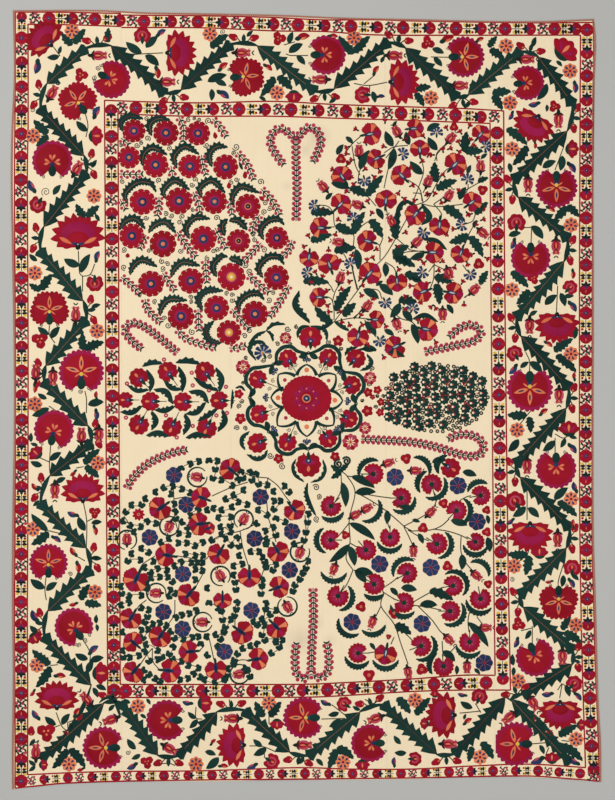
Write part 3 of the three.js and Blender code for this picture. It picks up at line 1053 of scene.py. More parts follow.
# points of each arch from its foot at the left over the top, silk of the midrib
ARCHES = [
    ([(122.6, 131.5), (121.6, 122), (130, 116.4), (143, 119)], "crimson"),
    ([(151.6, 136), (150, 125), (158, 119), (170, 120.4)], "salmon"),
    ([(142.6, 166), (144, 154.4), (153, 148), (167, 155)], "salmon"),
    ([(177, 168.5), (174.6, 156), (185, 147), (199, 154.5)], "salmon"),
    ([(128, 204), (125.6, 194), (137, 183), (150, 183.4), (156, 192)], "salmon"),
    ([(165.6, 199), (164, 190), (175, 181), (189.5, 190)], "salmon"),
    ([(202, 198), (200.4, 188), (212, 181), (225, 193)], "salmon"),
    ([(212, 167), (209.6, 155), (216.6, 147), (227.6, 147.4)], "salmon"),
    ([(234, 205), (233, 196), (241.6, 187), (259, 193)], "salmon"),
    ([(119.6, 230), (126, 221), (136, 219.4), (145, 229)], "salmon"),
    ([(148.6, 233), (155.4, 225), (166, 222.6), (175.6, 233)], "salmon"),
    ([(189.6, 239), (186.4, 228), (195.4, 218), (210, 219)], "salmon"),
    ([(224.6, 236), (222.6, 226), (227.6, 219)], "salmon"),
    ([(229, 221), (238, 221), (247, 230)], "salmon"),
    ([(263.6, 240), (261, 230), (268, 221.4), (278, 219.6), (284, 225)], "salmon"),
    ([(130, 275), (134, 265.4), (143, 260.4), (157, 266.8)], "salmon"),
    ([(171.2, 277.4), (175.4, 268), (184, 262.4), (200, 266)], "salmon"),
    ([(216.6, 277), (213.4, 266), (221, 257), (227.6, 257)], "salmon"),
    ([(229, 258.6), (237, 260.4), (242, 266)], "salmon"),
    ([(263, 278), (259, 268), (267.6, 258), (278, 257.4), (284, 264.6)], "salmon"),
    ([(160, 316), (162.6, 306), (170.4, 299.6), (187, 300.6)], "salmon"),
    ([(202.6, 311), (199, 299), (207.6, 291), (223, 291)], "crimson"),
    ([(239.6, 313), (239.4, 303), (248, 295), (258, 294), (264, 300)], "salmon"),
    ([(221.6, 343), (210, 340), (206.6, 330), (214, 321)], "crimson"),
]
for points, midrib in ARCHES:
    arched_leaf(points, midrib)
for x, y, size, eye in WHEELS:
    wheel(x, y, size, eye)

BOUQUET_SPRIGS = [
    [(119, 174), (131, 174.6), (143, 174)], [(171, 166), (172, 172), (173, 178)],
    [(179, 117), (183.6, 128), (183, 142)], [(201.5, 155), (203, 165), (206, 175)],
    [(159, 197), (159, 207), (157, 216)], [(193, 192), (198, 202), (200, 213)], [(120, 199), (126, 210)],
    [(121, 138), (129, 145)], [(146, 235), (140, 249)], [(177, 232), (189, 249), (196, 257)],
    [(212.5, 119), (220, 127), (226.4, 137)], [(237, 152.6), (247, 164), (253.6, 180)],
    [(261, 189), (271.6, 200), (280, 215)], [(230, 200), (232, 215)],
    [(260, 214.6), (253, 226), (253, 233)], [(215, 228), (220, 238), (226, 249)],
    [(261, 243), (252, 253), (243, 262)], [(292, 240), (289, 250), (282, 257)], [(205, 260), (207, 283)],
    [(248, 275), (258, 284), (269, 293)], [(289, 285), (281, 300), (270, 317)],
    [(232, 309), (240, 319), (249, 329)], [(198, 309), (199, 331)], [(229, 348), (238, 348), (246, 345)],
    [(121, 277), (131, 285), (140.6, 294)], [(145, 299), (148, 310), (161, 323)],
    [(162.6, 273), (175, 291)], [(177, 329), (186, 338.6), (204, 345), (216, 348)],
]
for points in BOUQUET_SPRIGS:
    berry_sprig(points, joint=5.4, berry=1.6)
# x, y, reach
BOUQUET_CURLS = [
    (147, 118.4, 2.6), (188.5, 120, 2.4), (194, 118.6, 1.8), (199, 119.6, 2), (208.5, 121, 3),
    (147.6, 138.6, 2.8), (137, 145.4, 2.6), (141.6, 143, 2), (169, 148.4, 2.6), (206.4, 145.4, 2.6),
    (159, 180.4, 2.6), (195, 179.6, 2.6), (192, 185, 2.4), (122.6, 181.6, 2.4), (166, 214, 2.4),
    (171.6, 215.6, 2.4), (182.4, 216.6, 2.6), (179.6, 222.6, 2.6), (146, 218, 2.4), (193, 210, 2),
    (121, 145.4, 1.8), (236, 147, 3.4), (234, 153, 2.2), (260.6, 182, 3), (236.6, 179.6, 2.4),
    (231.4, 182.4, 2.4), (265, 203, 2.6), (270, 208, 2.6), (264.4, 212, 2.8), (216.6, 218, 2.8),
    (253, 234.6, 1.8), (255, 240, 2.4), (264, 250, 3), (245.6, 265, 2.8), (249.6, 271.4, 2.8),
    (213.6, 251.4, 2.4), (217.6, 249, 2.4), (207.4, 258.4, 2.4), (273, 293, 2.2), (269, 300, 2.8),
    (227, 293, 2.2), (232, 295, 2.2), (232, 300.4, 2.4), (249.6, 330.4, 2.6), (244.6, 336, 2.6),
    (124, 249.6, 2.6), (124, 267.4, 2.8), (149, 251, 2.2), (180.4, 251, 2.6), (162, 261.4, 2.6),
    (167.4, 264, 2.4), (162.7, 268.6, 2.6), (155, 301.4, 2.4), (164, 318.4, 2.4), (168, 325.4, 3),
    (192.2, 332, 3), (191, 297.4, 2.2), (191, 301.4, 2), (140, 294.6, 2.2),
]
for i, (x, y, size) in enumerate(BOUQUET_CURLS):
    spiral("umber", spot(x, y), 1.12 * size, 1.5, 1.1, start=61 * i, flip=1 - 2 * (i % 2))
# x, y of the foot, x, y of the tip
LOOSE_PETALS = [
    (216, 139, 214.4, 132), (229, 189, 229, 182), (127.5, 258, 128, 253), (245, 179, 245, 171),
    (264, 200, 259, 196.6),
]
for x, y, tip_x, tip_y in LOOSE_PETALS:
    lens("crimson", spot(x, y), spot(tip_x, tip_y), 4.6, full=0.4)
lens("green", spot(242.6, 170), spot(239, 161.6), 3.2)

# The upper right bouquet: a branching tree of thin stems, with scalloped flowers whose orange
# wedges open from a blue and white heart, closed tulips, blue fans and saw-edged leaves.
# angle from the stem, silk, share of the reach that is its half width at the rim
WEDGES = [(176, "magenta", 0.32), (118, "salmon", 0.32), (-116, "salmon", 0.34), (64, "magenta", 0.24)]


def wedge_flower(x, y, turn, size, heart="pale"):
    """An oval flower that opens from its stem, its petals in wedges of red and orange."""
    centre, way = spot(x, y), heading(turn)
    angles = np.linspace(0, math.tau, 90, endpoint=False)
    rim = size / np.hypot(np.cos(angles) / 0.98, np.sin(angles) / 1.14) * lobed(1.03, 9, 0.07, 90)
    rim = rim * notched(1.0, 16, 0.5, 90) * lobed(1.0, 30, 0.09, 90)
    disc("crimson", centre, facing(rim, turn), lay=turn)
    for lean, silk, broad in WEDGES:
        ray = heading(turn + lean)
        wedge = np.linspace(centre + 0.1 * size * ray, centre + 0.93 * size * ray, 6)
        strip(silk, wedge, np.linspace(0.05, broad, 6) * size, layer=1)
    lens("indigo", centre + 0.66 * size * way, centre - 0.44 * size * way, 0.5 * size, layer=3)
    lens(heart, centre + 0.42 * size * way, centre - 0.24 * size * way, 0.22 * size, layer=4)
    lens("green", centre + 1.16 * size * way, centre + 0.4 * size * way, 0.26 * size, layer=4)


def tulip(x, y, turn, size, broad=1.0):
    """A closed tulip that points along its heading, with a dark calyx and an orange middle petal."""
    centre, way = spot(x, y), heading(turn)
    foot, aside = centre - 0.9 * size * way, 1j * broad
    for side in (aside, -aside):
        bow = -0.16 * side.imag
        lens("rose", foot, centre + size * way * (1 + 0.36 * side), 0.86 * size * broad, bow=bow, full=0.5)
        tip = centre + size * way * (0.86 + 0.52 * side)
        lens("crimson", foot, tip, 0.28 * size, bow=1.5 * bow, layer=1)
        tip = foot + size * way * (0.44 + 0.6 * side)
        lens("umber", foot + 0.1 * size * way, tip, 0.26 * size, layer=1)
        tip = centre + 1.1 * size * way
        lens("umber", tip, tip + size * way * (0.3 + 0.28 * side), 0.17 * size)
    lens("salmon", foot + 0.5 * size * way, centre + 0.95 * size * way, 0.36 * size, layer=1)
    lens("umber", foot - 0.35 * size * way, foot + 0.5 * size * way, 0.42 * size, layer=2)


def sprout(x, y, tip_x, tip_y, teeth):
    """A leaf of the small growth, plain or saw-edged."""
    stalk, tip = spot(x, y), spot(tip_x, tip_y)
    length = abs(tip - stalk)
    if teeth:
        saw_leaf(stalk, tip, min(12.0, 0.64 * length), teeth, bow=0.06)
    else:
        lens("green", stalk, tip, min(8.6, 0.5 * length), bow=0.06)


def bellflower(x, y, turn):
    """The smallest red flower of the tree, on a dark calyx."""
    seat, way = spot(x, y), heading(turn)
    for lean in (-36, 0, 36):
        lens("crimson", seat, seat + 4.4 * way * heading(lean), 2.0, full=0.6)
    lens("umber", seat - 2.4 * way, seat + 1.2 * way, 1.9, layer=1)


TREE_STEMS = [
    [(334, 322), (346, 306), (358, 290), (374, 268), (385, 256), (396, 238), (405, 222)],
    [(334, 322), (353, 318), (374, 319.6)], [(334, 320), (334, 311), (332, 300), (328, 297)],
    [(332.6, 301), (335, 292), (339.6, 284)], [(333.6, 292), (328, 283.6), (310, 275)],
    [(358, 290), (355, 279), (352, 266)], [(358, 290), (364, 281)],
    [(364, 289.6), (377.6, 290), (382, 299)], [(353, 318), (364, 309)],
    [(380, 260), (379.6, 246), (375, 243.6)], [(334.4, 227), (323, 227)],
    [(333.6, 212), (335, 226), (344, 234), (353.4, 234.6), (353.4, 246)],
    [(319, 205), (328, 206.6), (334, 213)], [(353.4, 234.6), (353.4, 222)], [(383, 238), (379.6, 246)],
    [(405, 222), (413, 207), (427, 200), (437.6, 182), (445, 171), (450, 168)],
    [(420.4, 157), (423.6, 171), (419, 186), (411, 207)], [(437, 161), (437, 153), (447, 143)],
    [(465, 153), (475, 141)], [(466, 190), (480, 182)],
    [(421.8, 204), (436, 206.6), (457, 205), (463, 204)], [(433.6, 204), (441, 213), (441, 219)],
    [(468.6, 234.6), (465, 244), (462, 247)], [(475.4, 214), (472.6, 221), (466, 224)],
    [(468.6, 234.6), (474, 225), (478, 221)], [(434, 262), (433.6, 278), (430, 289)],
    [(434, 277), (442.6, 290)], [(434.6, 264), (428.6, 272)], [(434.6, 265), (445, 270)],
    [(465, 297.6), (471, 292)], [(410, 250), (424, 252)], [(411, 321), (418, 328)],
    [(396, 238), (410, 250)], [(376, 219), (369.6, 221), (362, 226), (355, 234)],
    [(386, 208), (390, 226), (396, 238)], [(345, 190), (362, 192), (376, 206)], [(350, 188), (342, 184)],
    [(372, 150), (360, 170), (358, 184)], [(386, 158), (394, 148), (399, 141)],
    [(394, 148), (388, 170), (384, 188)], [(361, 136), (352.6, 143.6), (346, 152)],
    [(337, 246), (345, 256), (347, 262)], [(411, 321), (400, 318), (388, 306)],
    [(352, 146), (355, 164), (360, 175)], [(384, 153), (394, 147), (408, 145.5)],
    [(398.7, 135), (408, 144)], [(408, 180), (419, 188), (423, 202)],
    [(413, 193), (420.6, 194), (422, 201)], [(427, 185), (423, 193)], [(444, 197), (434, 204)],
    [(468, 184), (468, 188), (466, 193)], [(480, 173), (480, 181)],
    [(448, 143), (438, 153), (434.6, 161)], [(352, 268), (353.7, 276), (357, 289.6)],
    [(385, 262), (393, 267), (396, 272.6)], [(395, 255.5), (407, 252), (424, 251)],
    [(362, 309), (354, 319)], [(364.6, 320), (375.6, 337)], [(411, 310), (402, 309), (398.7, 302)],
    [(464, 297.6), (470.6, 293)], [(467, 271), (462.7, 265)],
]
for stem in TREE_STEMS:
    line("olive", stem, 1.2)
# x, y, angle of the stem, reach
TREE_FLOWERS = [
    (371, 134, 190, 10.2), (376, 159, 25, 9.2), (341.6, 176, 305, 10), (401, 175, 315, 10),
    (341, 204, 225, 10), (386, 200, 265, 10), (414.6, 128.6, 185, 9), (481, 134, 230, 9),
    (419.8, 149, 272, 9), (455.6, 164, 225, 10.8), (472.4, 202, 215, 9.6), (415, 215, 50, 10),
    (439.4, 226, 85, 9.6), (320, 228, 0, 10), (367, 241, 345, 10), (309, 258, 85, 9),
    (329, 264, 290, 10.4), (370, 273, 230, 10.8), (397, 282, 95, 9.6), (318.6, 297.4, 0, 9),
    (376, 319.6, 180, 8.4), (358, 337, 80, 10), (395, 347, 25, 10.4), (433.6, 252.4, 180, 10),
    (460.4, 254, 70, 9.2), (422.4, 292, 20, 9.6), (453, 293, 170, 10), (427, 329.4, 170, 10.8),
]
for x, y, turn, size in TREE_FLOWERS:
    wedge_flower(x, y, turn, size)
# x, y, angle of the stem
TREE_FANS = [
    (402.4, 154, 200), (364.4, 180, 100), (436.6, 133, 270), (467.6, 180, 250), (485, 146.4, 200),
    (315, 206, 0), (353.4, 218.6, 270), (350.8, 264, 300), (308, 273, 340), (385, 302, 110),
    (379.4, 340.4, 120), (462.4, 224.6, 20), (423.8, 232, 60), (423, 272, 40), (470, 274, 120),
    (412.6, 309, 240),
]
for x, y, turn in TREE_FANS:
    blue_fan(x, y, turn)
# x, y, the way it points
TREE_TULIPS = [
    (397, 132, 120), (359, 151.6, 90), (323.4, 187, 130), (450.5, 138.6, 50), (480.6, 167, 90),
    (428, 182, 70), (448.6, 196, 60), (358, 205, 160), (339, 242.4, 170), (392, 221.6, 120),
    (340.4, 278.4, 75), (367, 306.4, 55), (396.6, 323.6, 290), (482.4, 232.6, 320), (416.5, 242.5, 45),
    (448.6, 272.5, 290), (474, 290, 45), (442.6, 313.6, 270),
]
for x, y, turn in TREE_TULIPS:
    tulip(x, y, turn, 6.8, 1.25)
# x, y, reach
TREE_BUDS = [(341, 159, 5), (454, 127, 4.4), (482.6, 190, 5), (478.6, 264, 5.4)]
for x, y, size in TREE_BUDS:
    eyed_flower(x, y, 1.1 * size, 3)
# x, y of the stalk, x, y of the tip, teeth
TREE_LEAVES = [
    (345.6, 137, 353, 144, 0), (337, 155, 343.6, 144.4, 0), (360, 170, 369.6, 150, 0),
    (393.4, 146.4, 385.4, 131, 0), (394, 148, 388, 170, 0), (367.6, 196, 383.4, 175.6, 4),
    (350, 188, 368, 196.6, 4), (331, 183, 350, 189, 0), (326, 200, 332.6, 193, 0),
    (465.4, 152.4, 467, 131.6, 5), (465.4, 152.4, 483, 151.6, 4), (437.6, 150, 428, 137, 0),
    (436.6, 182, 435, 162, 5), (423, 174, 410, 161, 0), (436.6, 189.6, 457, 180.6, 5),
    (467.6, 174, 471, 165, 0), (478, 182, 488.4, 178, 3), (459.4, 200, 466, 187, 0),
    (427, 131, 440, 124, 0), (311, 213, 334, 213.6, 5), (353, 234, 365, 212, 5),
    (335.6, 226, 352.6, 234.6, 4), (369.6, 220, 382.4, 238, 4), (376, 208.6, 383, 219.6, 0),
    (396, 239, 398, 211, 5), (311, 241.4, 332, 235, 5), (334.4, 251.6, 356, 248, 4),
    (355.4, 249, 358, 270, 0), (303.4, 281.6, 329, 283, 5), (335.6, 311, 351, 286.4, 6),
    (343.6, 316.4, 356, 303.4, 4), (332, 323, 315, 306.4, 4), (363, 289.6, 379, 299, 0),
    (379, 285, 393, 295.4, 0), (384.6, 263, 385.4, 277, 0), (393, 256, 410, 264.6, 4),
    (393, 255, 409, 246, 4), (364.6, 321.6, 376, 336, 0), (384, 330, 394, 335.6, 0),
    (362, 349, 377, 350, 0), (400, 303, 390, 317.6, 0), (443.4, 207, 465, 222, 5),
    (475.4, 214.4, 488, 202.6, 4), (468.4, 234.6, 449, 242.4, 5), (469.4, 236.6, 482.6, 257, 5),
    (424.4, 253, 410, 258.6, 0), (434.6, 277, 452, 283, 4), (435.4, 284, 439, 304.6, 5),
    (480.6, 284, 488, 271, 4), (446.6, 304.6, 453, 314, 0), (411.4, 324, 418, 344, 0),
    (421.8, 281, 410, 276, 0), (384, 350, 405, 357, 0), (409.6, 145, 406, 131.6, 0),
    (481, 159, 487.4, 153.6, 0), (473, 227, 477, 220, 0), (393, 127, 397, 121, 0),
    (398.7, 300.6, 417, 302.4, 4), (402.3, 310.4, 412, 322.6, 0), (376, 286, 383, 281, 0),
    (395, 258, 415, 267, 4), (404.8, 274, 421, 281, 3),
]
for leaf in TREE_LEAVES:
    sprout(*leaf)
# width, teeth, points
TREE_SICKLES = [
    (8.4, 5, [(421.6, 225), (430, 217), (421.8, 204)]),
    (7.4, 5, [(446.6, 249.6), (436, 240.6), (422.6, 238.6)]),
    (7.4, 6, [(437.6, 321.6), (425, 315), (412.6, 319)]),
    (9.4, 6, [(299, 291), (295, 306), (309.6, 323)]),
    (7.0, 5, [(416, 205), (405, 201.5), (398, 210), (398, 226)]),
    (6.0, 4, [(317, 330), (325, 327), (333.6, 322)]), (6.0, 4, [(334.4, 322), (342, 327), (349, 331)]),
]
for width, teeth, points in TREE_SICKLES:
    sickle(points, width, teeth)
# x, y, the way it opens
TREE_BELLS = [
    (324, 210, 200), (339.6, 220.4, 150), (349.6, 212.4, 250), (371, 214.4, 60), (368.4, 202.6, 120),
    (336, 233, 250), (309, 237, 120), (305.6, 246, 200), (328.6, 248.4, 270), (352.6, 253.6, 250),
    (342.4, 261.4, 170), (367, 261.4, 90), (373.6, 259, 120), (389.4, 238.6, 300), (396.6, 246, 330),
    (316, 273.4, 120), (312, 280, 250), (322, 278, 70), (328.6, 290, 200), (329, 304.6, 220),
    (350, 273, 180), (351, 281, 200), (359.4, 279.8, 60), (360.6, 294, 300), (373.4, 297, 280),
    (330.6, 311.8, 180), (338.4, 312.4, 30), (341.6, 320.4, 280), (349, 323.6, 290), (360, 316.4, 60),
    (361.4, 323.4, 300), (398, 268, 300), (390.6, 281, 240), (347, 165, 60), (353, 160, 180),
    (334, 170, 160), (350, 178, 40), (385, 147, 160), (379, 170, 300), (391, 160, 30), (366, 144, 110),
    (357, 130, 150), (385, 122, 90), (404, 140, 20), (409, 168, 20), (411, 186, 20), (428, 156, 60),
    (443, 151, 100), (447, 129, 120), (459, 143, 120), (473, 147, 60), (476, 157, 330), (461, 173, 300),
    (444, 176, 130), (429, 194, 200), (441, 201, 290), (458, 192, 70), (467, 213, 300), (482, 208, 330),
    (455, 229, 180), (475, 226, 60), (447, 233, 250), (428, 243, 300), (404, 233, 20), (409, 226, 60),
    (425, 262, 220), (441, 262, 30), (455, 266, 250), (467, 263, 290), (429, 283, 200), (445, 279, 80),
    (462, 283, 60), (464, 303, 270), (432, 306, 220), (421, 301, 250), (407, 296, 200), (404, 308, 330),
    (418, 322, 90), (435, 341, 300), (407, 331, 200), (385, 325, 300), (370, 330, 230), (366, 345, 0),
    (383, 356, 300), (348, 147, 200), (348, 154, 170), (350, 162, 200), (364, 170, 40), (373, 176, 320),
    (355, 183, 220), (348, 192, 160), (424, 137, 130), (433, 155, 180), (449, 149, 20), (458, 151, 330),
    (421, 162, 40), (426, 195, 30), (434, 195, 60), (416, 200, 200), (399, 192, 240), (403, 198, 330),
    (470, 141, 60), (461, 133, 120), (469, 127, 60), (471, 214, 200), (482, 220, 20), (485, 245, 20),
    (473, 254, 200), (486, 258, 330), (421, 260, 150), (437, 271, 20), (412, 286, 180), (435, 307, 300),
    (340, 290, 30), (375, 250, 30), (361, 286, 20),
]
for place in TREE_BELLS:
    bellflower(*place)

# The lower left bouquet: wedge flowers, blue spoked rosettes and tulips in rings among vines set
# with small three-lobed ivy leaves.


def spoked_rosette(x, y, size=8.6):
    centre = spot(x, y)
    disc("indigo", centre, lobed(size, 7, 0.12, 56))
    for k in range(7):
        way = heading((k + 0.5) * 360 / 7)
        strip("salmon", np.linspace(centre, centre + 0.94 * size * way, 4), 0.36, layer=1)
    disc("crimson", centre, 0.17 * size, layer=2)


def ivy_leaf(x, y, turn):
    disc("green", spot(x, y), facing(notched(4.1, 24, 0.3, 30) * lobed(1.0, 5, 0.16, 30), turn))


# x, y, angle of the stem, reach
IVY_FLOWERS = [
    (160, 508.4, 35, 11), (201, 497.4, 340, 10), (199, 524, 5, 10.6), (166, 555, 350, 10.6),
    (136, 579.6, 65, 12.2), (188.4, 595, 50, 11), (230, 469, 320, 10.4), (294.5, 510, 130, 10.2),
    (278, 551.6, 120, 10.2), (249.4, 576.6, 90, 10.6), (279, 587, 200, 10), (218.6, 554, 60, 10.4),
    (130.8, 618.4, 60, 10.4), (160, 636.6, 55, 10.6), (132.8, 641.8, 320, 9.6), (189, 651.6, 5, 10.2),
    (133.4, 672, 50, 10.4), (170, 670.6, 175, 11), (242.4, 632.6, 145, 11), (277, 627.4, 135, 10.6),
    (258, 658.8, 190, 10.2), (216, 669.4, 95, 10.2), (222.6, 600, 90, 8.6), (209, 528, 200, 6),
]
for x, y, turn, size in IVY_FLOWERS:
    wedge_flower(x, y, turn, size, "umber")
# x, y
IVY_ROSETTES = [
    (174, 475.2), (186.4, 504.6), (149.8, 537.4), (183, 574), (260.6, 497), (292, 531.4), (254.6, 538.6),
    (289.6, 570), (163.4, 611.8), (182.6, 628.8), (251.4, 610.4), (224.6, 651.6),
]
for x, y in IVY_ROSETTES:
    spoked_rosette(x, y)
eyed_flower(138.6, 514.4, 6.4, 9)
# x, y, the way the tulip points, where its ring opens
RINGED_TULIPS = [
    (197.4, 477, 170, 20), (127, 540, 90, 275), (169.4, 526, 250, 30), (156.4, 593, 180, 330),
    (202.8, 622, 180, 0), (287.4, 606.4, 300, 110), (239.6, 674, 190, 40), (243.6, 519.6, 60, 250),
    (300, 552, 250, 40), (220.6, 576, 120, 300),
]
for x, y, turn, gap in RINGED_TULIPS:
    tulip(x, y, turn, 6.4, 1.4)
    angles = np.linspace(gap + 18, gap + 342, 37)
    swell = 0.45 + 0.6 * np.sin(np.pi * np.linspace(0.05, 0.95, 37))
    strip("green", spot(x, y) + 9.6 * heading(angles), swell)
# Vines of dark chain stitch: points
IVY_VINES = [
    [(268, 478), (278, 486), (286, 497), (291, 503)], [(268, 478), (252, 476), (240, 470)],
    [(248, 482), (230, 488), (212, 496)], [(240, 531), (243, 548), (248.6, 566)],
    [(268, 517), (273, 532), (276, 542)], [(173, 484), (174, 500), (175, 518), (178, 531)],
    [(174, 499), (186, 497), (192, 499)], [(155, 556), (143, 564), (139, 571)],
    [(176, 555.6), (190, 558), (205, 559.6), (214, 548)], [(205, 570), (194, 590)],
    [(175, 600), (174, 615), (165, 628), (163, 630)], [(152.4, 648), (146, 656), (140, 665)],
    [(152.4, 648), (153, 661), (159, 669)], [(146.4, 600), (140, 605), (136, 610)],
    [(199, 651), (204, 646)], [(208, 634), (211, 646), (214, 660)], [(236, 604), (235, 616), (235, 626)],
    [(266, 603), (264, 620), (268, 622)], [(247, 660), (240, 660), (232, 664)],
    [(268, 478), (266, 490), (267, 505), (268, 517)], [(210, 541), (222, 535), (240, 531), (256, 524)],
    [(134.6, 532), (128, 522), (124, 516)], [(268, 562), (262, 575), (262, 590)],
    [(305, 515), (306, 535), (303, 545)], [(306, 562), (302, 575), (293, 590)],
]
for vine in IVY_VINES:
    line("umber", vine, 1.15)
# x, y
IVY_LEAVES = [
    (209, 461), (217, 461), (215.4, 469), (213, 478), (221, 480), (232, 485.6), (238, 480), (241, 472),
    (243, 478), (250, 472.4), (252, 480), (256, 474.4), (258.6, 484), (267, 485), (284, 486), (289, 492),
    (274, 491.4), (244, 490), (234, 495), (226, 499), (238, 502), (247, 504.6), (232.4, 507), (222, 510),
    (214, 508.4), (207.6, 510), (273.6, 501), (280, 501), (274, 509), (258.6, 510), (267, 515),
    (257, 523.4), (219, 517.6), (230.4, 517), (230.4, 525.4), (221, 527), (230.4, 532), (222, 534),
    (212, 540), (225, 538.6), (231, 545), (237, 538), (239, 546), (265, 531), (273, 527.4), (276, 535),
    (267, 539), (266, 544), (276, 519), (285, 522), (308, 514), (307.6, 522), (306, 532), (304, 540),
    (294.4, 544), (251, 551.6), (258.6, 551.6), (239.6, 555.6), (262, 557), (265, 562), (266, 567),
    (275.6, 564.6), (273, 570), (234, 566), (242, 564), (307.6, 561), (306, 568), (303, 573), (300, 579),
    (295, 585), (293, 591), (234, 575), (235, 582), (236, 589.4), (262, 580), (262, 585.6), (261, 593.4),
    (207.6, 588), (181, 469), (190, 464), (198.6, 461.4), (164, 487.6), (172.4, 486.4), (181.6, 489),
    (190, 492.8), (156, 492), (170.6, 494), (145.8, 498.6), (141.8, 504.6), (132, 505), (126, 511.8),
    (174, 504), (123.4, 521), (130, 525.4), (140.4, 526.8), (147, 521.6), (155.6, 523.4), (175, 511.8),
    (175.8, 518.4), (190, 515.6), (198, 509.8), (182.4, 522), (187.6, 527.4), (134.6, 532),
    (178.4, 533.4), (188, 534.6), (169.4, 538.6), (161.4, 542.4), (177.8, 543), (186.4, 543),
    (194.8, 545.8), (202.6, 542.4), (141.8, 548.4), (148.4, 552.4), (132, 553.6), (128, 560.8),
    (140, 560), (153, 561.4), (185, 554), (194.8, 555.6), (202.6, 555.6), (175, 566), (181, 562),
    (190.8, 562.6), (196.6, 562.6), (202, 562.6), (145, 567.4), (150.4, 572.4), (157.4, 568.6),
    (166.6, 570), (194.8, 569.4), (202, 570.6), (151.6, 577.8), (159.4, 577), (167.4, 577),
    (172.4, 581.6), (147.6, 583), (147, 588), (194.8, 579.6), (121.6, 586.4), (121.6, 593.4),
    (128.8, 596), (141, 595.4), (170, 590), (175, 593.4), (169.4, 596), (121.6, 605), (128.8, 602.6),
    (141, 607.8), (148.4, 609.8), (147.6, 616.4), (145, 622), (152.4, 624), (159.4, 623), (166, 625.4),
    (123, 632), (141, 630), (147.6, 629.4), (143, 637.4), (175.8, 617.6), (181.6, 615), (189, 613.6),
    (196, 610.4), (171, 631.4), (174.4, 638), (183, 639), (192, 637.4), (198, 636.6), (146.4, 644.4),
    (157.4, 650.4), (162, 657), (173, 647), (169.4, 653.6), (172.4, 658.8), (181, 661.4), (188, 665.4),
    (198, 668), (200.6, 644.4), (123.4, 650.4), (123.4, 657), (129.4, 657.4), (138.6, 655.6),
    (144.4, 651.6), (149, 660.8), (157.4, 659.4), (144.4, 670), (149, 674.4), (155, 678.4), (160, 681.4),
    (144.4, 679.6), (179.6, 679.6), (187.6, 678.4), (193.4, 674), (200, 677), (209, 603.4), (218, 608),
    (221.4, 611), (222.6, 619.6), (230.4, 619.6), (225.4, 626.8), (224, 632), (216, 634.6), (220.6, 639),
    (207, 636.6), (237, 602.6), (236.4, 609), (234.4, 615.6), (265.8, 603.4), (265.8, 609),
    (275.6, 610.4), (270.4, 614.4), (262.4, 619), (254, 621.6), (257.4, 624.8), (264, 625.4),
    (262, 634.6), (265, 640), (275.6, 640), (282, 640), (276, 642), (279.4, 647), (271.6, 653),
    (257.4, 644), (250.8, 645.8), (243, 648.4), (237.6, 653.6), (234.4, 660), (233.8, 664), (218, 646.4),
    (207.6, 655), (244, 668), (228.4, 668.6), (226.6, 675), (224.6, 679.6), (215.4, 682), (205, 679.6),
    (247.4, 670), (250, 676.4),
]
for (x, y), (last_x, last_y) in zip(IVY_LEAVES, IVY_LEAVES[-1:] + IVY_LEAVES[:-1]):
    here, last = spot(x, y), spot(last_x, last_y)
    ivy_leaf(x, y, math.degrees(np.angle(last - here)))
    if abs(here - last) < 13:
        strip("umber", bowed(last, here, 0.12, 5), 0.42)

# The lower right bouquet: carnations cut open like a C round a green cup, blue spoked rosettes and
# tulips, each in the crook of a curved saw-edged leaf on long thin stems.


def carnation(x, y, turn, size):
    centre, way, size = spot(x, y), heading(turn), 1.06 * size
    disc("crimson", centre, facing(notched(size, 13, 0.3, 96) * lobed(1.0, 16, 0.11, 96), turn))
    inner = notched(0.7 * size, 14, 0.25, 64) * lobed(1.0, 16, 0.08, 64)
    disc("magenta", centre, facing(inner, turn), layer=1)
    for lean in range(50, 311, 26):
        ray = heading(turn + lean)
        lens("rose", centre + 0.2 * size * ray, centre + 0.58 * size * ray, 0.14 * size, layer=2, full=0.6)
    for lean in (130, 180, 230):
        ray = size * heading(turn + lean)
        strip("yellow", np.linspace(centre + 0.2 * ray, centre + 0.42 * ray, 3), 0.26, layer=3)
    disc("green", centre, 0.25 * size, layer=3)
    strip("olive", np.linspace(centre, centre + 1.1 * size * way, 4), 0.55, layer=4)


def crook(x, y, start, end, reach):
    """A curved leaf that lies round a flower from one angle to another, saw-edged on its outer side."""
    angles = np.linspace(start, end, 34)
    swell = np.sin(np.pi * np.linspace(0.02, 0.98, 34)) ** 0.6
    inner, outer = 2.3 * swell, 4.5 * swell * (1 - 0.3 * (np.arange(34) % 3 / 2))
    left, right = (inner, outer) if end > start else (outer, inner)
    strip("green", spot(x, y) + reach * heading(angles), left, right)


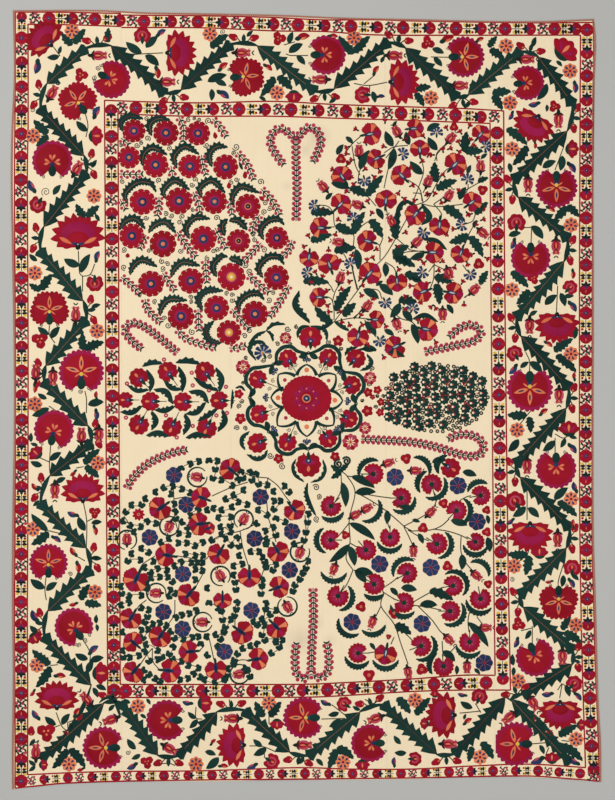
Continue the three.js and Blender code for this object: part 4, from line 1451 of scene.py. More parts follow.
# x, y, angle of the stem, reach, angles from and to which its leaf lies round it
CARNATIONS = [
    (373, 474, 180, 10.4, 190, 68), (331, 506, 45, 10.2, 228, 335), (401, 498, 180, 10.2, 235, 365),
    (330.5, 540, 0, 10, 120, 250), (366, 550, 130, 10.2, 0, 0), (390, 537, 90, 10, 200, 330),
    (374, 584, 150, 10.4, 225, 315), (407, 573, 210, 10.2, 195, 60), (338, 596, 60, 10.6, 45, -85),
    (431.6, 484.4, 285, 10.4, 215, 110), (480.6, 495.4, 190, 9.8, 165, 60),
    (456.4, 510.6, 225, 10.2, 60, -75), (436.8, 543.8, 150, 10.6, 55, -85),
    (475.4, 541.8, 150, 9, 195, 340), (453, 585.6, 190, 10.2, 125, -45),
    (480.4, 598.6, 100, 10.6, 185, 320), (450, 611, 180, 10.2, 35, -115),
    (469.6, 641.8, 90, 10.4, 195, 320), (421, 645.8, 200, 10.4, 45, -110),
    (443.4, 666, 95, 10.2, 215, 120), (358, 653, 0, 9.8, 195, 325), (404, 602.6, 160, 10, 190, 320),
]
# x, y, angles from and to, reach of the leaves round the other flowers
CROOKS = [
    (431.6, 484.4, 245, 390, 13.8), (352, 622, 165, 300, 13.4), (385.6, 654, 205, 335, 14),
    (366, 507, 255, 390, 14), (372, 620, 225, 340, 14), (476, 574, 115, -10, 12.6),
    (334, 567, 200, 335, 13.6), (450.6, 468, 205, 105, 13), (416, 471, 100, -15, 13.4),
]
CARNATION_STEMS = [
    [(341, 471), (347, 476), (355, 491), (351, 511), (349, 523), (350, 542), (346, 558), (353, 570)],
    [(347, 476), (356, 477), (363, 475)], [(341, 472), (341, 490), (335, 502)],
    [(355, 492), (376, 496), (391, 498)],
    [(355, 492), (370, 500), (385, 510), (397, 520), (405, 527), (412, 531)],
    [(349, 523), (342, 532), (337, 537)], [(350, 543), (357, 547)], [(353, 570), (347, 584), (341, 592)],
    [(404, 526), (416, 520), (425, 515)], [(412, 531), (430, 530), (441, 526), (449, 519)],
    [(433, 529), (447, 531), (460, 535), (468, 539)], [(461, 535), (461, 552), (466, 563), (473, 571)],
    [(404, 527), (409, 537), (413, 546)], [(408, 530), (420, 537), (429, 541)],
    [(386, 512), (388, 524), (390, 529)], [(354, 570), (362, 577), (367, 580)],
    [(354, 570), (370, 578), (383, 591), (381, 606), (394, 624), (401, 644), (408, 664)],
    [(383, 588), (392, 582), (398, 577)], [(383, 592), (391, 597), (396, 600)],
    [(410, 604), (420, 598), (433, 591), (444, 587)], [(412, 605), (427, 607), (441, 610)],
    [(418, 606), (432, 620), (440, 631), (446, 636)], [(394, 624), (406, 634), (413, 641)],
    [(471, 606), (468, 620), (469, 632)], [(477, 617), (483, 625)], [(381, 606), (376, 616)],
    [(433.6, 492), (436.8, 498), (434, 507)], [(459.6, 500.6), (466, 497), (471, 495.6)],
    [(394, 637), (391, 644)], [(367.6, 653), (374, 652)], [(442, 641), (443, 656)],
    [(457, 645), (450, 652), (443.6, 656)],
]
for stem in CARNATION_STEMS:
    line("olive", stem, 1.25)
for x, y, turn, size, start, end in CARNATIONS:
    carnation(x, y, turn, size)
    if start != end:
        crook(x, y, start, end, size + 3.4)
for place in CROOKS:
    crook(*place)
# x, y
CROOK_ROSETTES = [
    (395, 477), (458, 485.6), (477, 521.6), (431, 567.4), (352, 622), (422, 623.6), (484, 662.8),
    (379.6, 564),
]
for x, y in CROOK_ROSETTES:
    spoked_rosette(x, y, 9.0)
# x, y, the way it points
CROOK_TULIPS = [
    (415, 470.6, 0), (430.4, 512.4, 45), (413.4, 550.4, 270), (476, 575, 320), (372.4, 621.6, 250),
    (448.6, 639, 315), (485, 627.6, 0), (467, 666.6, 270), (408, 672, 280), (388, 463, 20),
    (366.4, 508.6, 30), (334, 568.6, 250), (355, 515, 30),
]
for x, y, turn in CROOK_TULIPS:
    tulip(x, y, turn, 6.8, 1.15)
# x, y, reach of the small red buds
CROOK_BUDS = [
    (443.4, 503.4, 4.6), (423, 528, 4.8), (447.4, 566, 4.8), (361, 606.6, 5), (369, 675, 5.6),
    (394, 613, 5.2), (388.6, 636.6, 2.6), (421.8, 669.4, 5.4), (486.4, 510, 4), (486.6, 532, 4.4),
    (488, 584, 4), (406, 458.6, 5), (345.6, 535, 4),
]
for x, y, size in CROOK_BUDS:
    eyed_flower(x, y, 1.15 * size, 3)
ragged_flower(spot(450.6, 468), 150, 9.6)
wedge_flower(385.6, 654, 80, 10.4)
# x, y of the stalk, x, y of the tip, teeth
CROOK_LEAVES = [
    (351, 476.4, 375, 488, 0), (341.6, 482, 345.6, 507, 0), (355, 493, 376, 492, 0),
    (386.6, 510, 386.6, 524, 0), (349, 523, 375, 540, 0), (349, 544, 329, 562, 0),
    (349, 546, 354.6, 566, 0), (355, 571, 373.6, 574, 0), (354.6, 570, 366, 583, 0),
    (432, 462.6, 446.6, 459.6, 0), (434, 463, 438, 472, 0), (462.4, 472, 476.6, 475.8, 0),
    (450.6, 520.4, 467.4, 525.4, 0), (418, 533.4, 423, 543.8, 0), (461.6, 554, 461.6, 570, 0),
    (429.6, 590.8, 453, 600, 4), (419.8, 605, 437.4, 605, 0), (467.6, 622, 488.4, 647, 0),
    (442.6, 651, 455, 661.4, 0), (456.4, 665.4, 456.4, 674.6, 0), (474, 668.6, 480, 674.4, 0),
    (395, 625, 411, 634.4, 4), (369.6, 643, 375, 650, 0), (486.6, 515, 488.4, 524, 0),
    (487, 537, 489.6, 552, 0), (341, 471, 331, 465, 3), (341, 471, 349, 464, 3), (341, 471, 331, 478, 3),
    (397, 505, 412, 509, 0), (412, 520, 420, 522, 0), (401, 588, 417, 590, 0), (390, 588, 398, 596, 0),
]
for leaf in CROOK_LEAVES:
    sprout(*leaf)

# The left oval: ten ragged flowers on short stems that all point to the left, with broad leaves cut
# along one side and rose ring berries at their tips.
# x, y, angle of the stem, reach
OVAL_FLOWERS = [
    (138.8, 377.8, 315, 9.4), (167.8, 371.8, 305, 9.8), (205, 371.6, 305, 9.8), (125.6, 400, 0, 7.8),
    (150.6, 401.4, 0, 9.2), (183, 401.8, 0, 9.2), (219.4, 400.6, 0, 9), (139, 424.6, 60, 9.8),
    (172, 427, 65, 9.6), (206.8, 428.4, 65, 9.8),
]
for x, y, turn, size in OVAL_FLOWERS:
    centre, way = spot(x, y), size * heading(turn)
    line("umber", [centre + 0.9 * way, centre + 1.75 * way], 0.85)
    ragged_flower(centre, turn, size)
# width, teeth, points with the cut side on the left
OVAL_SICKLES = [
    (6.4, 3, [(142.6, 366.4), (152, 363), (162.4, 363.6)]),
    (6.8, 3, [(150, 391.8), (152.4, 381), (146.8, 369.6)]),
    (5.8, 3, [(127.4, 385.4), (137, 391), (149, 390)]),
    (7.0, 3, [(176, 362.6), (188, 361.4), (200, 364)]),
    (7.2, 3, [(182.4, 391.8), (184, 379), (178.6, 366.4)]),
    (6.4, 3, [(164, 380.4), (171, 388), (181.6, 390)]),
    (7.6, 4, [(219.6, 391.8), (222, 379), (216, 367.6)]),
    (6.8, 3, [(194, 377.6), (204, 385.6), (218.6, 391)]),
    (7.4, 3, [(173, 404), (166.6, 391.6), (154, 389.4)]),
    (7.6, 3, [(208.6, 403), (202, 393), (189, 391.4)]),
    (6.8, 3, [(120.6, 412), (132, 413), (142.4, 406)]),
    (7.2, 3, [(151.8, 430), (156.4, 421), (151.8, 411)]),
    (6.8, 3, [(155, 410), (165, 411), (175, 406.4)]),
    (7.4, 3, [(183.6, 434.6), (188.6, 424), (185, 413.6)]),
    (7.2, 3, [(186, 414), (197, 412.6), (206, 402.4)]),
    (6.8, 3, [(198, 421), (207, 416.6), (217.6, 409)]),
    (7.4, 4, [(218, 431.6), (225.4, 421), (222.6, 409.6)]),
    (7.4, 3, [(169.6, 436), (158, 432.6), (146.4, 435.4)]),
    (7.6, 3, [(210.6, 436), (198, 434), (186, 437.6)]),
]
for width, teeth, points in OVAL_SICKLES:
    sickle(points, 1.12 * width, teeth + 1, 0.3)
# x, y of the ring berries
OVAL_BERRIES = [
    (164, 359.6), (127, 383.6), (191.8, 372.8), (192.8, 385.4), (209, 390.4), (226, 386.8), (126, 417.6),
    (166, 415.4), (216.4, 415.4), (192.8, 426), (176.8, 437.4), (227, 413),
]
for x, y in OVAL_BERRIES:
    disc("rose", spot(x, y), 2.3)
    disc("cream", spot(x, y), 0.9, layer=1)

# The right oval: a thicket of small green C-shaped flowers with rose hearts on forked red stems that
# all point to the left, packed with dark ring curls.
# x, y
THICKET_FLOWERS = [
    (393.8, 377.4), (404.2, 375), (415.2, 379), (423.8, 372.8), (414.6, 366.8), (431.6, 366),
    (442, 370.4), (454.2, 374), (463.4, 370.4), (434.8, 377.8), (425.6, 382.2), (407.4, 384),
    (397.4, 387.2), (416, 387.8), (434.2, 386.4), (444.8, 379.6), (453.4, 384.6), (463.4, 378.6),
    (470.6, 384.6), (473, 376.4), (482, 381), (390.2, 395.4), (400.2, 400), (408, 394.6), (417, 397.8),
    (407.4, 404), (426, 392.2), (435.2, 396.8), (424.2, 402.2), (443.8, 391), (452.4, 394.6),
    (444.2, 399.6), (462, 390.4), (470.6, 394), (460.6, 398.6), (483, 393.2), (483, 402.2), (388.8, 406),
    (398.4, 411.4), (396.6, 420.4), (388.8, 416.8), (407.4, 413.6), (416.6, 409.6), (416.6, 419),
    (428.4, 412.2), (437, 406.8), (436.6, 415.4), (448.4, 409.6), (454.8, 406.8), (455.2, 414.6),
    (465.6, 408.6), (473, 403.2), (475.2, 412.8), (407, 423.6), (419.2, 426.8), (429.2, 423.2),
    (443, 425), (464.8, 417.8),
]
# from x, y of its flower to the x, y of its foot
THICKET_STEMS = [
    (393.8, 380.4, 389.8, 390), (415.2, 380.4, 408.8, 389), (433.8, 379.6, 427, 388.6),
    (453.4, 376.8, 446, 385), (471, 378.6, 463, 385), (400.2, 400.4, 386.6, 400.4),
    (416.6, 398.2, 404.8, 399.6), (434.8, 396.8, 421.6, 397.2), (452, 395, 440.6, 395.4),
    (470.6, 394, 456.6, 394.6), (396, 418.6, 391.6, 410.4), (416.6, 418.6, 409.2, 409),
    (436.6, 415, 428.8, 405), (454.8, 414, 448.4, 405), (474.8, 412.2, 464.8, 401.4),
    (403.8, 375.4, 399.8, 376.8), (423, 373.2, 418, 375), (439.2, 371.4, 432.8, 371.8),
    (482.4, 381, 476.6, 381.8), (483, 393.2, 476.6, 393.2), (483, 402.2, 477.4, 399.6),
    (406.6, 424, 401, 425), (429.2, 423.2, 423, 424.6), (442.4, 424.6, 439.8, 421.8),
    (464.8, 417.8, 460.2, 416.8),
]
for x, y in THICKET_FLOWERS:
    disc("green", spot(x, y), lobed(5.4, 8, 0.22, 32))
    disc("cream", spot(x, y) - 2.2, 1.5, layer=1)
    disc("rose", spot(x, y) - 0.6, 1.1, layer=2)
for x, y, foot_x, foot_y in THICKET_STEMS:
    head, foot = spot(x, y), spot(foot_x, foot_y)
    strip("crimson", np.linspace(head, foot, 5), 0.6, layer=2)
    if abs(head - foot) > 7:
        for lean in (-52, 52):
            lens("crimson", foot, foot + (head - foot) / abs(head - foot) * heading(lean) * 5.4, 1.3, layer=2)
# The ring curls fill its gaps and its rim: each place is kept if it has room beside the others.
thicket_hand = np.random.default_rng(3)
taken = [(spot(x, y), 6.0) for x, y in THICKET_FLOWERS]
for turn in thicket_hand.uniform(0, math.tau, 6000):
    reach = thicket_hand.uniform(0, 1) ** 0.4
    place = spot(436, 398) + 52 * reach * math.cos(turn) + 34j * reach * math.sin(turn)
    if all(abs(place - other) > room for other, room in taken):
        taken.append((place, 3.5))
        disc("umber", place, 2.1, count=12)
        disc("cream", place, 1.1, layer=1, count=10)
        disc("green", place, 0.6, layer=2, count=8)

# The small growth of the wide border: thin stems from the vine's turns with buds, closed tulips,
# open poppies, half-open flowers and leaves, worked in to leave little bare ground.


def bud(silk, x, y, tip_x, tip_y):
    foot, tip = spot(x, y), spot(tip_x, tip_y)
    reach, way = abs(tip - foot), (tip - foot) / abs(tip - foot)
    lens(silk, foot, tip, 0.52 * reach, bow=0.08, full=0.5)
    inside = "rose" if silk == "indigo" else "salmon"
    low, high = foot + 0.15 * reach * way, foot + 0.75 * reach * way
    lens(inside, low, high, 0.2 * reach, bow=-0.12, layer=1)
    lens("green", foot - 1.8 * way, foot + 0.4 * reach * way, 0.34 * reach, layer=2)


def poppy(x, y, turn, size):
    centre, way = spot(x, y), heading(turn)
    disc("crimson", centre, facing(notched(size, 18, 0.35, 70) * lobed(1.0, 7, 0.12, 70), turn))
    disc("rose", centre, facing(notched(0.6 * size, 24, 0.3, 48), turn), layer=1)
    disc("crimson", centre, 0.42 * size, layer=2)
    lens("salmon", centre - 0.34 * size * way, centre + 0.1 * size * way, 0.3 * size, layer=3)
    lens("green", centre + 0.05 * size * way, centre + 0.95 * size * way, 0.42 * size, layer=3)


def trio(x, y, turn, size):
    """Three round red petals, each with a small pale fleck."""
    for lean in (0, 120, 240):
        petal = spot(x, y) + 0.5 * size * heading(turn + lean)
        disc("crimson", petal, lobed(0.58 * size, 5, 0.1, 20))
        disc("salmon", petal - 0.24 * size * heading(turn + lean), 0.16 * size, layer=1)


def half_flower(x, y, turn, size):
    """A flower seen from the side: a scalloped red fan that opens along its heading from a green cup."""
    centre, way = spot(x, y), heading(turn)
    foot = centre - 0.7 * size * way
    angles = np.abs((np.linspace(0, 360, 72, endpoint=False) + 180) % 360 - 180)
    fan = np.interp(angles, [0, 62, 84, 180], [1.66, 1.5, 0.4, 0.2]) * lobed(1.0, 12, 0.1, 72)
    disc("crimson", foot, facing(size * fan, turn))
    for lean in (-38, 38):
        tip = foot + 1.3 * size * way * heading(lean)
        lens("magenta", foot + 0.3 * size * way, tip, 0.36 * size, layer=1, full=0.6)
    lens("salmon", foot + 0.3 * size * way, foot + 1.25 * size * way, 0.36 * size, layer=2, full=0.6)
    low, high = foot + size * way * (0.2 - 0.75j), foot + size * way * (0.2 + 0.75j)
    lens("green", low, high, 0.5 * size, bow=0.12, layer=2)


BORDER_STEMS = [
    [(53.6, 47), (60, 56)], [(131, 55), (142.4, 54), (163, 53)], [(85, 112), (88, 125.4), (86, 137)],
    [(286, 54), (291, 55.6), (308, 55.6)], [(284, 45), (295, 42)],
    [(354, 83.6), (368.4, 85.6), (387, 82.4)], [(364, 84), (375, 75)], [(369.6, 86), (369.6, 93)],
    [(431, 57), (449, 57.4)], [(564, 146), (555, 170)], [(531.6, 226), (531, 243)],
    [(531.6, 227.4), (517, 228)], [(557.6, 286), (556.4, 312)],
    [(525.6, 352), (529.6, 362), (529, 376.4)], [(78.4, 251), (79.6, 273), (82.4, 276), (82.6, 291.4)],
    [(82.6, 276.4), (90.2, 274.4), (94.8, 264)], [(90.2, 274.4), (96, 277)],
    [(49.6, 325.4), (49.4, 334.6), (55, 343)], [(85, 391), (86.6, 400), (86.4, 413)],
    [(51, 442), (49.6, 462.6), (50, 473)], [(49.6, 462), (36, 456)], [(49, 406), (57.4, 411.8)],
    [(83.6, 503), (86.8, 521.6), (86.4, 549)], [(86.8, 521.6), (92.8, 518.4)],
    [(48.4, 530.6), (60, 533.4)], [(46.4, 575), (45, 589.4), (46.4, 600)], [(83.6, 466.6), (76.4, 468)],
    [(75.8, 555.6), (85, 560.8)], [(555, 434), (563, 438), (568.8, 435.4)], [(555, 438), (555, 456)],
    [(531, 410.4), (518.4, 426)], [(527, 491.4), (527, 520)], [(529, 549), (527, 554), (518.4, 562)],
    [(563.6, 563.4), (558.4, 580.4), (558.4, 588)], [(39.2, 633), (44, 634.6)],
    [(82.4, 638.6), (90.2, 653.6), (87.6, 673)], [(50.4, 665.4), (58, 664.6)],
    [(56.2, 712.4), (61.4, 725.4), (66.6, 730.6)], [(60, 725), (50, 729)], [(39, 740), (35, 750)],
    [(162, 763.4), (170, 763.4), (175, 765.4)], [(170, 763.4), (170, 758.8)],
    [(196, 707), (196, 717.6), (202, 719)], [(229.2, 699.4), (230.4, 708.4)], [(269, 708.4), (269, 724)],
    [(321.4, 719), (345, 718.4)], [(331.8, 704.6), (345, 715)],
    [(365, 699.4), (373.6, 703.4), (380, 698)], [(249.4, 745.8), (262.4, 746.4), (275.6, 751.6)],
    [(264.4, 747.4), (264.4, 757.4)], [(459.6, 713), (480.6, 711)], [(475.4, 703.4), (480.6, 712.4)],
    [(532.2, 626), (532.2, 644.4)], [(521, 630.6), (531.6, 628)], [(562, 683.6), (559.6, 698)],
    [(561.6, 683.6), (557.6, 690)], [(562.4, 683.6), (574, 692.8)], [(561.6, 740.4), (569.4, 741.2)],
    [(530.4, 743.8), (547.4, 742.4)], [(548.6, 747.6), (545.4, 755.6)],
]
for stem in BORDER_STEMS:
    line("olive", stem, STEM_WIDTH)
# x, y of the stalk, x, y of the tip, teeth
BORDER_LEAVES = [
    (59.4, 54, 61.4, 46, 0), (59.4, 56, 47, 57.4, 0), (72.4, 45, 62, 33, 4), (74.4, 44, 85.6, 29.4, 4),
    (108.4, 42.4, 109, 28, 4), (142, 53, 126, 42, 0), (146, 48, 158, 36.6, 0), (145, 55.6, 159, 66, 0),
    (87.6, 131, 76.4, 121, 0), (48.4, 133, 34, 120, 4), (47.6, 135, 36, 146, 4), (53.6, 195, 61, 185, 0),
    (92, 168, 97, 160, 0), (211, 48, 228.4, 35, 4), (247, 37, 253, 31, 0), (289, 44, 293, 32, 0),
    (289, 53, 303, 44, 0), (296.4, 56, 305, 65, 0), (354, 53.6, 339, 36, 4), (355, 53, 370, 36.6, 4),
    (207.6, 82, 227, 75, 0), (215, 81, 226.6, 86, 0), (211.4, 89, 211.4, 101, 0), (274, 77, 260.6, 96, 4),
    (277.4, 77, 292, 90, 4), (259, 97, 266, 101, 0), (372, 91.4, 375, 103, 0), (381, 63, 385, 56, 0),
    (399, 43, 400.4, 35, 0), (432, 49, 444, 53.6, 0), (433.4, 58, 442, 66.6, 0),
    (489, 47.6, 497, 36.6, 4), (489.6, 50, 504, 59.4, 4), (533, 47, 536, 37, 0), (556, 61, 562, 66.6, 0),
    (574.4, 102, 574.4, 111, 0), (416, 90, 431, 87, 4), (415, 93.4, 423.6, 106.4, 4),
    (492.4, 94, 511, 92, 4), (492.4, 96, 502, 110, 4), (547, 83.6, 537, 100, 0),
    (546.6, 104.6, 546.6, 112, 0), (506.6, 129, 527, 145, 5), (527, 146, 512.6, 165, 5),
    (542.6, 168, 556, 161, 0), (562, 155.6, 560, 171, 0), (508.6, 163, 510.6, 173, 0),
    (85, 217.6, 76.4, 204, 4), (87, 217.6, 99.4, 206, 4), (94.8, 214.4, 99.4, 221.6, 0),
    (37.4, 260.8, 29.4, 254, 0), (41, 290, 29.4, 283.6, 4), (41.8, 290, 52.4, 274.4, 4),
    (79.6, 265.4, 64, 258.8, 0), (81, 273, 90.2, 254, 0), (91.4, 307.8, 100.6, 304.6, 0),
    (49, 334.6, 38, 326.8, 0), (51, 338.6, 60, 326.8, 0), (83.6, 350, 83, 333, 4),
    (85, 349.6, 104, 342.4, 5), (47, 398.6, 38, 393.4, 0), (566, 206.4, 554, 219.6, 4),
    (567, 206, 578.6, 217, 4), (508.6, 236, 521, 233, 0), (531.6, 226, 543, 239, 0),
    (511, 272, 528, 287.6, 5), (529, 290, 516.4, 304, 4), (545, 305, 557, 295, 0),
    (560, 293, 565, 306.4, 0), (564, 297, 574, 296, 0), (529.6, 316, 537.4, 311, 0),
    (554.4, 351.6, 573, 339, 5), (574.6, 339, 577, 327, 0), (556, 355.6, 576, 372.4, 5),
    (520.4, 368, 529, 362, 0), (529.6, 362, 542, 372.4, 0), (49, 407.8, 32, 415.6, 0),
    (88, 405, 104, 402, 0), (31.4, 442, 31.4, 432.6, 0), (38, 445, 30.6, 443, 0),
    (42.4, 465.4, 30.6, 461.4, 0), (50.4, 460.8, 61.4, 452.4, 0), (84.4, 464, 100, 449.6, 5),
    (85, 466.6, 98.6, 477.8, 5), (56.2, 483, 66, 477.8, 0), (48.4, 530.6, 31.4, 513.6, 0),
    (48.4, 532, 31.4, 544.4, 4), (85.6, 530.6, 78.4, 516.4, 0), (91.4, 523.4, 102, 522, 0),
    (92, 558.8, 102, 558.8, 0), (45, 588, 30.6, 579, 0), (46.4, 590.8, 57.4, 582.4, 0),
    (81, 600, 90, 584.4, 4), (526.4, 414.4, 507.4, 414.4, 4), (528.4, 417, 530.4, 432.6, 4),
    (554.4, 440.4, 542.6, 451, 0), (565, 438, 560.4, 447.6, 0), (569, 436.6, 577, 438.6, 0),
    (518.4, 439, 508, 451.6, 0), (554.4, 500, 568, 487.6, 0), (557.6, 502, 576.6, 516.4, 5),
    (525.6, 506.4, 512.6, 516.4, 0), (527.6, 507.8, 538.8, 517.6, 0), (527.6, 554, 507.4, 553.6, 5),
    (528.4, 555.6, 525, 575, 4), (571, 574, 578.6, 580.4, 0), (563, 575, 561.6, 587, 0),
    (85, 603.4, 101.4, 606, 4), (39.2, 633.4, 30, 625.4, 0), (96.6, 623.4, 96.6, 614.4, 0),
    (96.4, 624, 97.4, 631.4, 0), (88.2, 658.8, 75.2, 653.6, 0), (90.2, 661.4, 104, 657.4, 0),
    (87.6, 673, 93.4, 660, 0), (96, 685.6, 106.4, 690, 0), (92.8, 687.6, 98, 697.4, 0),
    (50.4, 664, 32.6, 649.6, 5), (50.4, 666.6, 36, 687, 5), (56.2, 724.8, 45, 716.4, 0),
    (62, 724.8, 70, 713.6, 0), (34.6, 738.6, 29.4, 745.8, 0), (67.4, 749, 52.4, 768, 5),
    (69.4, 749, 85, 767.4, 5), (36, 765, 28.8, 760, 0), (35.4, 765.4, 28.8, 771, 0),
    (109, 711, 115, 704.6, 0), (136, 749, 127.4, 738.6, 0), (140.4, 754, 131.4, 758.8, 0),
    (130.6, 703, 124, 698.6, 0), (146.4, 698.6, 150.4, 704.6, 0), (140, 714.4, 146.4, 718.4, 0),
    (196, 718.4, 188, 711.8, 0), (197.4, 719, 189.4, 728, 0), (264.4, 716.4, 255.4, 701.4, 4),
    (270.4, 717, 281.4, 702, 4), (339, 712.4, 328, 715, 0), (340.4, 719, 329, 726.8, 0),
    (360.4, 709.8, 352.6, 706, 0), (205, 751.6, 216, 755, 0), (218.6, 757, 206, 768.6, 0),
    (262.4, 746.4, 253.4, 739, 0), (266.4, 747.6, 253.4, 755, 0), (335.6, 749, 328, 768, 4),
    (337, 747.6, 353.4, 758.8, 4), (401, 743.8, 394, 735.4, 0), (406.4, 752.4, 394.4, 752.4, 0),
    (397, 698, 410, 713.6, 4), (416, 715, 430.4, 698, 5), (472.6, 707.8, 460.4, 701.4, 0),
    (464, 719.6, 466, 713.6, 0), (530.4, 630, 525, 639, 0), (562.4, 630, 570.8, 617, 4),
    (564, 632.6, 581, 643, 5), (574, 660.8, 580.6, 662.6, 0), (513.4, 665.4, 512.6, 654, 0),
    (513.4, 667, 512.6, 676, 0), (565, 685, 569.4, 696.6, 0), (559, 736, 577.4, 725.4, 5),
    (561.6, 745, 582.4, 760.8, 5), (539.4, 745, 544, 754, 0), (471.4, 746.4, 468, 761.4, 4),
    (481, 742.4, 493, 758.8, 4), (336, 97, 329, 103, 0), (470, 101, 464, 108, 0), (304, 757, 297, 764, 0),
    (316, 759, 323, 766, 0), (39, 500, 33, 506, 0),
]
for leaf in BORDER_LEAVES:
    sprout(*leaf)
sickle([(99.4, 702.6), (106, 698), (114, 699), (120, 716.4)], 6.0, 4)
# x, y of the foot, x, y of the tip
BLUE_BUDS = [
    (38, 60, 35, 74), (157, 36, 166, 30), (94, 118, 100, 106.4), (35, 192, 29, 180), (218, 91.4, 229, 99),
    (377, 97, 385, 96.6), (574.4, 82, 575, 93.4), (539, 103, 528, 105), (512.6, 112, 508.6, 120),
    (568, 163, 575, 173), (96, 261.4, 99.4, 251), (514.6, 239, 510.6, 249), (569, 302, 576, 312),
    (516.4, 365, 509, 374), (96, 409.8, 96, 420.4), (52.4, 536.6, 60.8, 542.4),
    (77.8, 515.6, 67.4, 511.8), (568.8, 444.4, 576, 453.6), (576.6, 492, 573.4, 481.6),
    (513.4, 519, 506, 524), (568.8, 579, 574, 588), (38, 622, 32, 609.8), (89.4, 653.6, 98.6, 645.8),
    (39.2, 719, 32.6, 709.8), (136.6, 763.4, 126.8, 768.6), (192, 703.4, 182.4, 701.4),
    (329.8, 704.6, 320.6, 700), (256.6, 764, 246.8, 768), (394.4, 766, 394.4, 757),
    (466, 695.4, 457.6, 693.4), (517.8, 638, 514, 647.6), (574.6, 692.8, 581, 700.6),
    (552.4, 693.4, 541.4, 694), (543.4, 757.4, 530.4, 762.6), (578.6, 764, 569.4, 757.4),
]
RED_BUDS = [
    (156, 67, 158, 79), (296.4, 39, 310, 36), (329, 36, 338, 37), (219, 70.6, 228, 63),
    (264.4, 65, 272, 71), (373.6, 74.4, 379, 66), (441, 42, 454, 37), (476, 42, 484, 38),
    (534.8, 142, 534.8, 149), (547, 207, 555, 212), (545, 342, 552.4, 347), (572.6, 270, 572.6, 279),
    (574.6, 380, 574.6, 372), (34.6, 384, 34.6, 393), (96.6, 399, 96.6, 391), (75.8, 470.6, 70, 475.8),
    (38, 490, 32, 483), (94, 526, 96, 535.4), (76.4, 555.6, 70.6, 547), (77, 562, 78.4, 573),
    (540, 415, 548, 409), (573.4, 528, 573.4, 519), (552, 581, 545, 582), (55, 675.8, 66, 676.4),
    (34.6, 690, 30, 696), (74.4, 716.4, 80.4, 707.8), (84, 768, 77, 770), (211, 744.4, 216, 739),
    (219.4, 766, 228.4, 766.6), (464, 724, 472, 718.4), (77, 603, 69, 605),
]
for place in BLUE_BUDS:
    bud("indigo", *place)
for place in RED_BUDS:
    bud("crimson", *place)
# x, y, the way it points
BORDER_TULIPS = [
    (98.6, 55.6, 0), (52, 93.4, 60), (77, 169, 60), (167, 82, 0), (242, 53, 0), (320.6, 79.6, 180),
    (394, 55.6, 0), (526, 59.4, 0), (459.6, 85.6, 0), (558.4, 119.6, 270), (528, 184, 270),
    (556, 246, 270), (529.6, 325.4, 270), (559, 395, 270), (75.8, 315, 90), (36, 373, 90), (53, 377, 270),
    (81.6, 436, 90), (99, 434.6, 270), (55, 490, 270), (527, 465.4, 270), (557.6, 538.6, 270),
    (87, 699.4, 130), (36, 752.4, 90), (111, 719.6, 200), (169.4, 748.4, 330), (232.4, 718.4, 180),
    (303.6, 745, 0), (375.6, 718.4, 200), (448.6, 743.8, 0), (533, 702.6, 300), (562.4, 656.2, 270),
    (509.4, 717, 220),
]
for x, y, turn in BORDER_TULIPS:
    tulip(x, y, turn, 8.8)
# x, y, angle of the stem, reach
POPPIES = [
    (142.4, 36, 270, 8), (363, 95, 0, 8), (516.4, 223, 270, 8.6), (570, 287.6, 225, 7),
    (514.6, 353.6, 300, 7.6), (38, 204.6, 60, 8), (94.8, 283, 90, 8), (515.2, 501.4, 300, 9.4),
    (572, 568, 270, 8), (344.2, 704, 330, 7), (271.6, 761.4, 150, 7.6), (574, 683.6, 225, 7.6),
    (479.4, 696.6, 250, 7.6), (414.6, 758.8, 180, 6.6),
]
for x, y, turn, size in POPPIES:
    poppy(x, y, turn, 1.12 * size)
# x, y, reach
TRIOS = [
    (81, 75, 7), (279, 38.6, 7), (427.6, 43, 7), (554.4, 106.4, 6), (533.4, 278.4, 6), (40, 340, 8.4),
    (94.8, 512.4, 6), (46.4, 732, 9.4), (147, 762, 6.6), (518.4, 624.2, 7),
]
for x, y, size in TRIOS:
    trio(x, y, 37 * x, size)
# x, y, the way it opens, reach
HALF_FLOWERS = [
    (96, 136, 0, 8), (294, 96.6, 270, 7), (565, 50, 45, 12), (572, 149, 0, 7.4), (36, 453, 135, 7),
    (568.8, 428.8, 90, 8.6), (539.4, 552.4, 90, 7), (35, 638, 300, 6.4), (100.6, 673, 0, 9),
    (43.6, 764.6, 0, 5), (277, 724, 270, 6), (362.4, 764.6, 270, 6), (581, 724.8, 0, 5),
    (551.8, 758, 90, 6.4), (424.4, 723.4, 180, 5), (434.8, 694, 90, 4), (205, 703, 0, 8),
]
for x, y, turn, size in HALF_FLOWERS:
    half_flower(x, y, turn, size)
bell(spot(31.4, 732), 90)
# x, y, reach
BORDER_CURLS = [
    (98, 68, 2.6), (94, 78, 2.6), (32.6, 110, 3), (46, 192, 4.6), (223, 32, 3), (80.4, 391.4, 2.4),
    (89, 388, 2.4), (70.6, 574, 2.4), (79.4, 644.8, 2.4), (85.6, 640, 2.4), (128, 752.4, 2.6),
    (512, 579.6, 2.6),
]
for i, (x, y, size) in enumerate(BORDER_CURLS):
    spiral("umber", spot(x, y), size, 1.6, 0.85, start=77 * i)

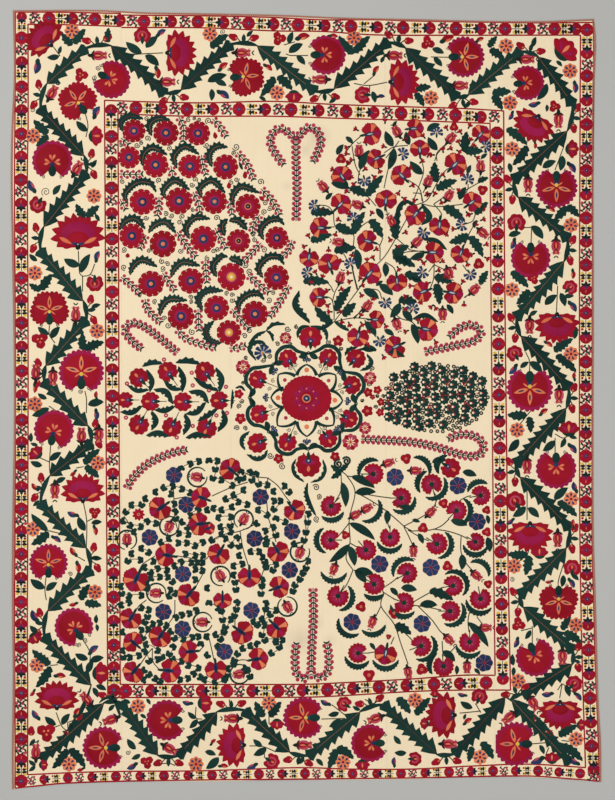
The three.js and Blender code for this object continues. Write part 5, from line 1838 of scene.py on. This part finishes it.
# The seams. The loom widths are joined edge to edge by small slanting whip stitches of cream cotton
# thread, one after another down the whole length of each of the four seams.
WHIP_STEP = 2.1
for node_name in PANELS[1:]:
    outline = [spread.co for spread in panels[node_name].data.vertices]
    upper = min((point for point in outline if point.y > 1.05), key=lambda point: point.x)
    lower = min((point for point in outline if point.y < -1.05), key=lambda point: point.x)
    ends = [CHART_MIDDLE + complex(point.x, point.y) / CHART for point in (upper, lower)]
    for place in np.linspace(*ends, round(abs(ends[1] - ends[0]) / WHIP_STEP)):
        strip("cream", np.linspace(place - 0.75 - 0.35j, place + 0.75 + 0.35j, 3), 0.16)

# The silks themselves. Each colour is one mesh of all its patches, lying on the cotton's waves.
# The floss has a soft shine, runs of lighter and darker dye, a seeded shade on each patch that is partly its
# dye lot and partly painted sheen, and fine ridges along its stitches.
# silk, colour where it is dark, colour where it is light
SILK_DYES = [
    ("crimson", (126, 5, 20), (164, 13, 40)),
    ("magenta", (132, 10, 54), (160, 24, 76)),
    ("rose", (152, 34, 62), (192, 78, 96)),
    ("salmon", (200, 96, 60), (228, 134, 92)),
    ("yellow", (206, 160, 50), (232, 196, 92)),
    ("green", (6, 36, 32), (22, 58, 50)),
    ("indigo", (18, 34, 68), (42, 62, 102)),
    ("umber", (14, 20, 20), (32, 36, 30)),
    ("olive", (26, 36, 24), (50, 56, 36)),
    ("pale", (150, 154, 150), (204, 196, 172)),
    ("cream", (232, 212, 172), (246, 230, 198)),
]
FLOSS_PER_METRE = 1100


def silk_mesh(name, kept):
    """One mesh from all the patches of a colour, lifted onto the relief of the cloth."""
    points = np.concatenate([patch[0] for patch in kept])
    stitch = np.concatenate([patch[1] for patch in kept])
    tone = np.concatenate([patch[2] for patch in kept])
    starts = np.cumsum([0] + [len(patch[0]) for patch in kept[:-1]])
    quads = np.concatenate([patch[3] + start for patch, start in zip(kept, starts)])
    points[:, 2] += COTTON_TOP + relief(points[:, 0], points[:, 1])
    a, b, d = points[quads[:, 0]], points[quads[:, 1]], points[quads[:, 3]]
    down = np.cross((b - a)[:, :2], (d - a)[:, :2]) < 0
    quads[down] = quads[down][:, ::-1]
    mesh = bpy.data.meshes.new(name)
    mesh.from_pydata(points.tolist(), [], quads.tolist())
    corners = np.empty(len(mesh.loops), np.int32)
    mesh.loops.foreach_get("vertex_index", corners)
    mesh.uv_layers.new(name="stitch").data.foreach_set("uv", stitch[corners].ravel())
    # The seeded shade of each patch is partly dye lot and partly painted sheen.
    mesh.attributes.new("dye_lot_and_sheen", "FLOAT", "POINT").data.foreach_set("value", tone)
    mesh.polygons.foreach_set("use_smooth", np.ones(len(mesh.polygons), bool))
    mesh.validate()
    return mesh


def silk_material(name, dark, light):
    material, shader, node = new_material(name)
    place = node.node("ShaderNodeTexCoord", {}, {}, "Object")
    stitch = node.node("ShaderNodeUVMap", {"uv_map": "stitch"}, {})
    lot_and_sheen = node.node("ShaderNodeAttribute", {"attribute_name": "dye_lot_and_sheen"}, {}, "Fac")
    floss = node.noise(node.mapped(stitch, (1500, 90, 1)), 1.0, 2.0)
    fading = node.noise(place, 24.0, 3.0)
    # The patch shade adds dye lot and painted sheen, which stands for floss laid another way catching more or
    # less light.
    tone = 0.5 + 0.22 * lot_and_sheen + 0.7 * (fading - 0.5) + 0.45 * (floss - 0.5)
    base = tone.held().mix(colour(*dark), colour(*light))
    along = node.node("ShaderNodeSeparateXYZ", {}, {0: stitch}, 0)
    ridges = (along * (math.tau * FLOSS_PER_METRE)).sine() * 0.4 + floss
    finish_material(shader, base, 0.5 + 0.2 * floss, ridges, 0.0002, 0.4)
    shader.inputs["Specular IOR Level"].default_value = 0.1
    return material


for silk, dark, light in SILK_DYES:
    if not patches[silk]:
        continue
    piece = bpy.data.objects.new("silk_" + silk, silk_mesh("silk_" + silk, patches[silk]))
    bpy.context.scene.collection.objects.link(piece)
    piece.data.materials.append(silk_material("silk_" + silk, dark, light))
    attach(piece, "root")
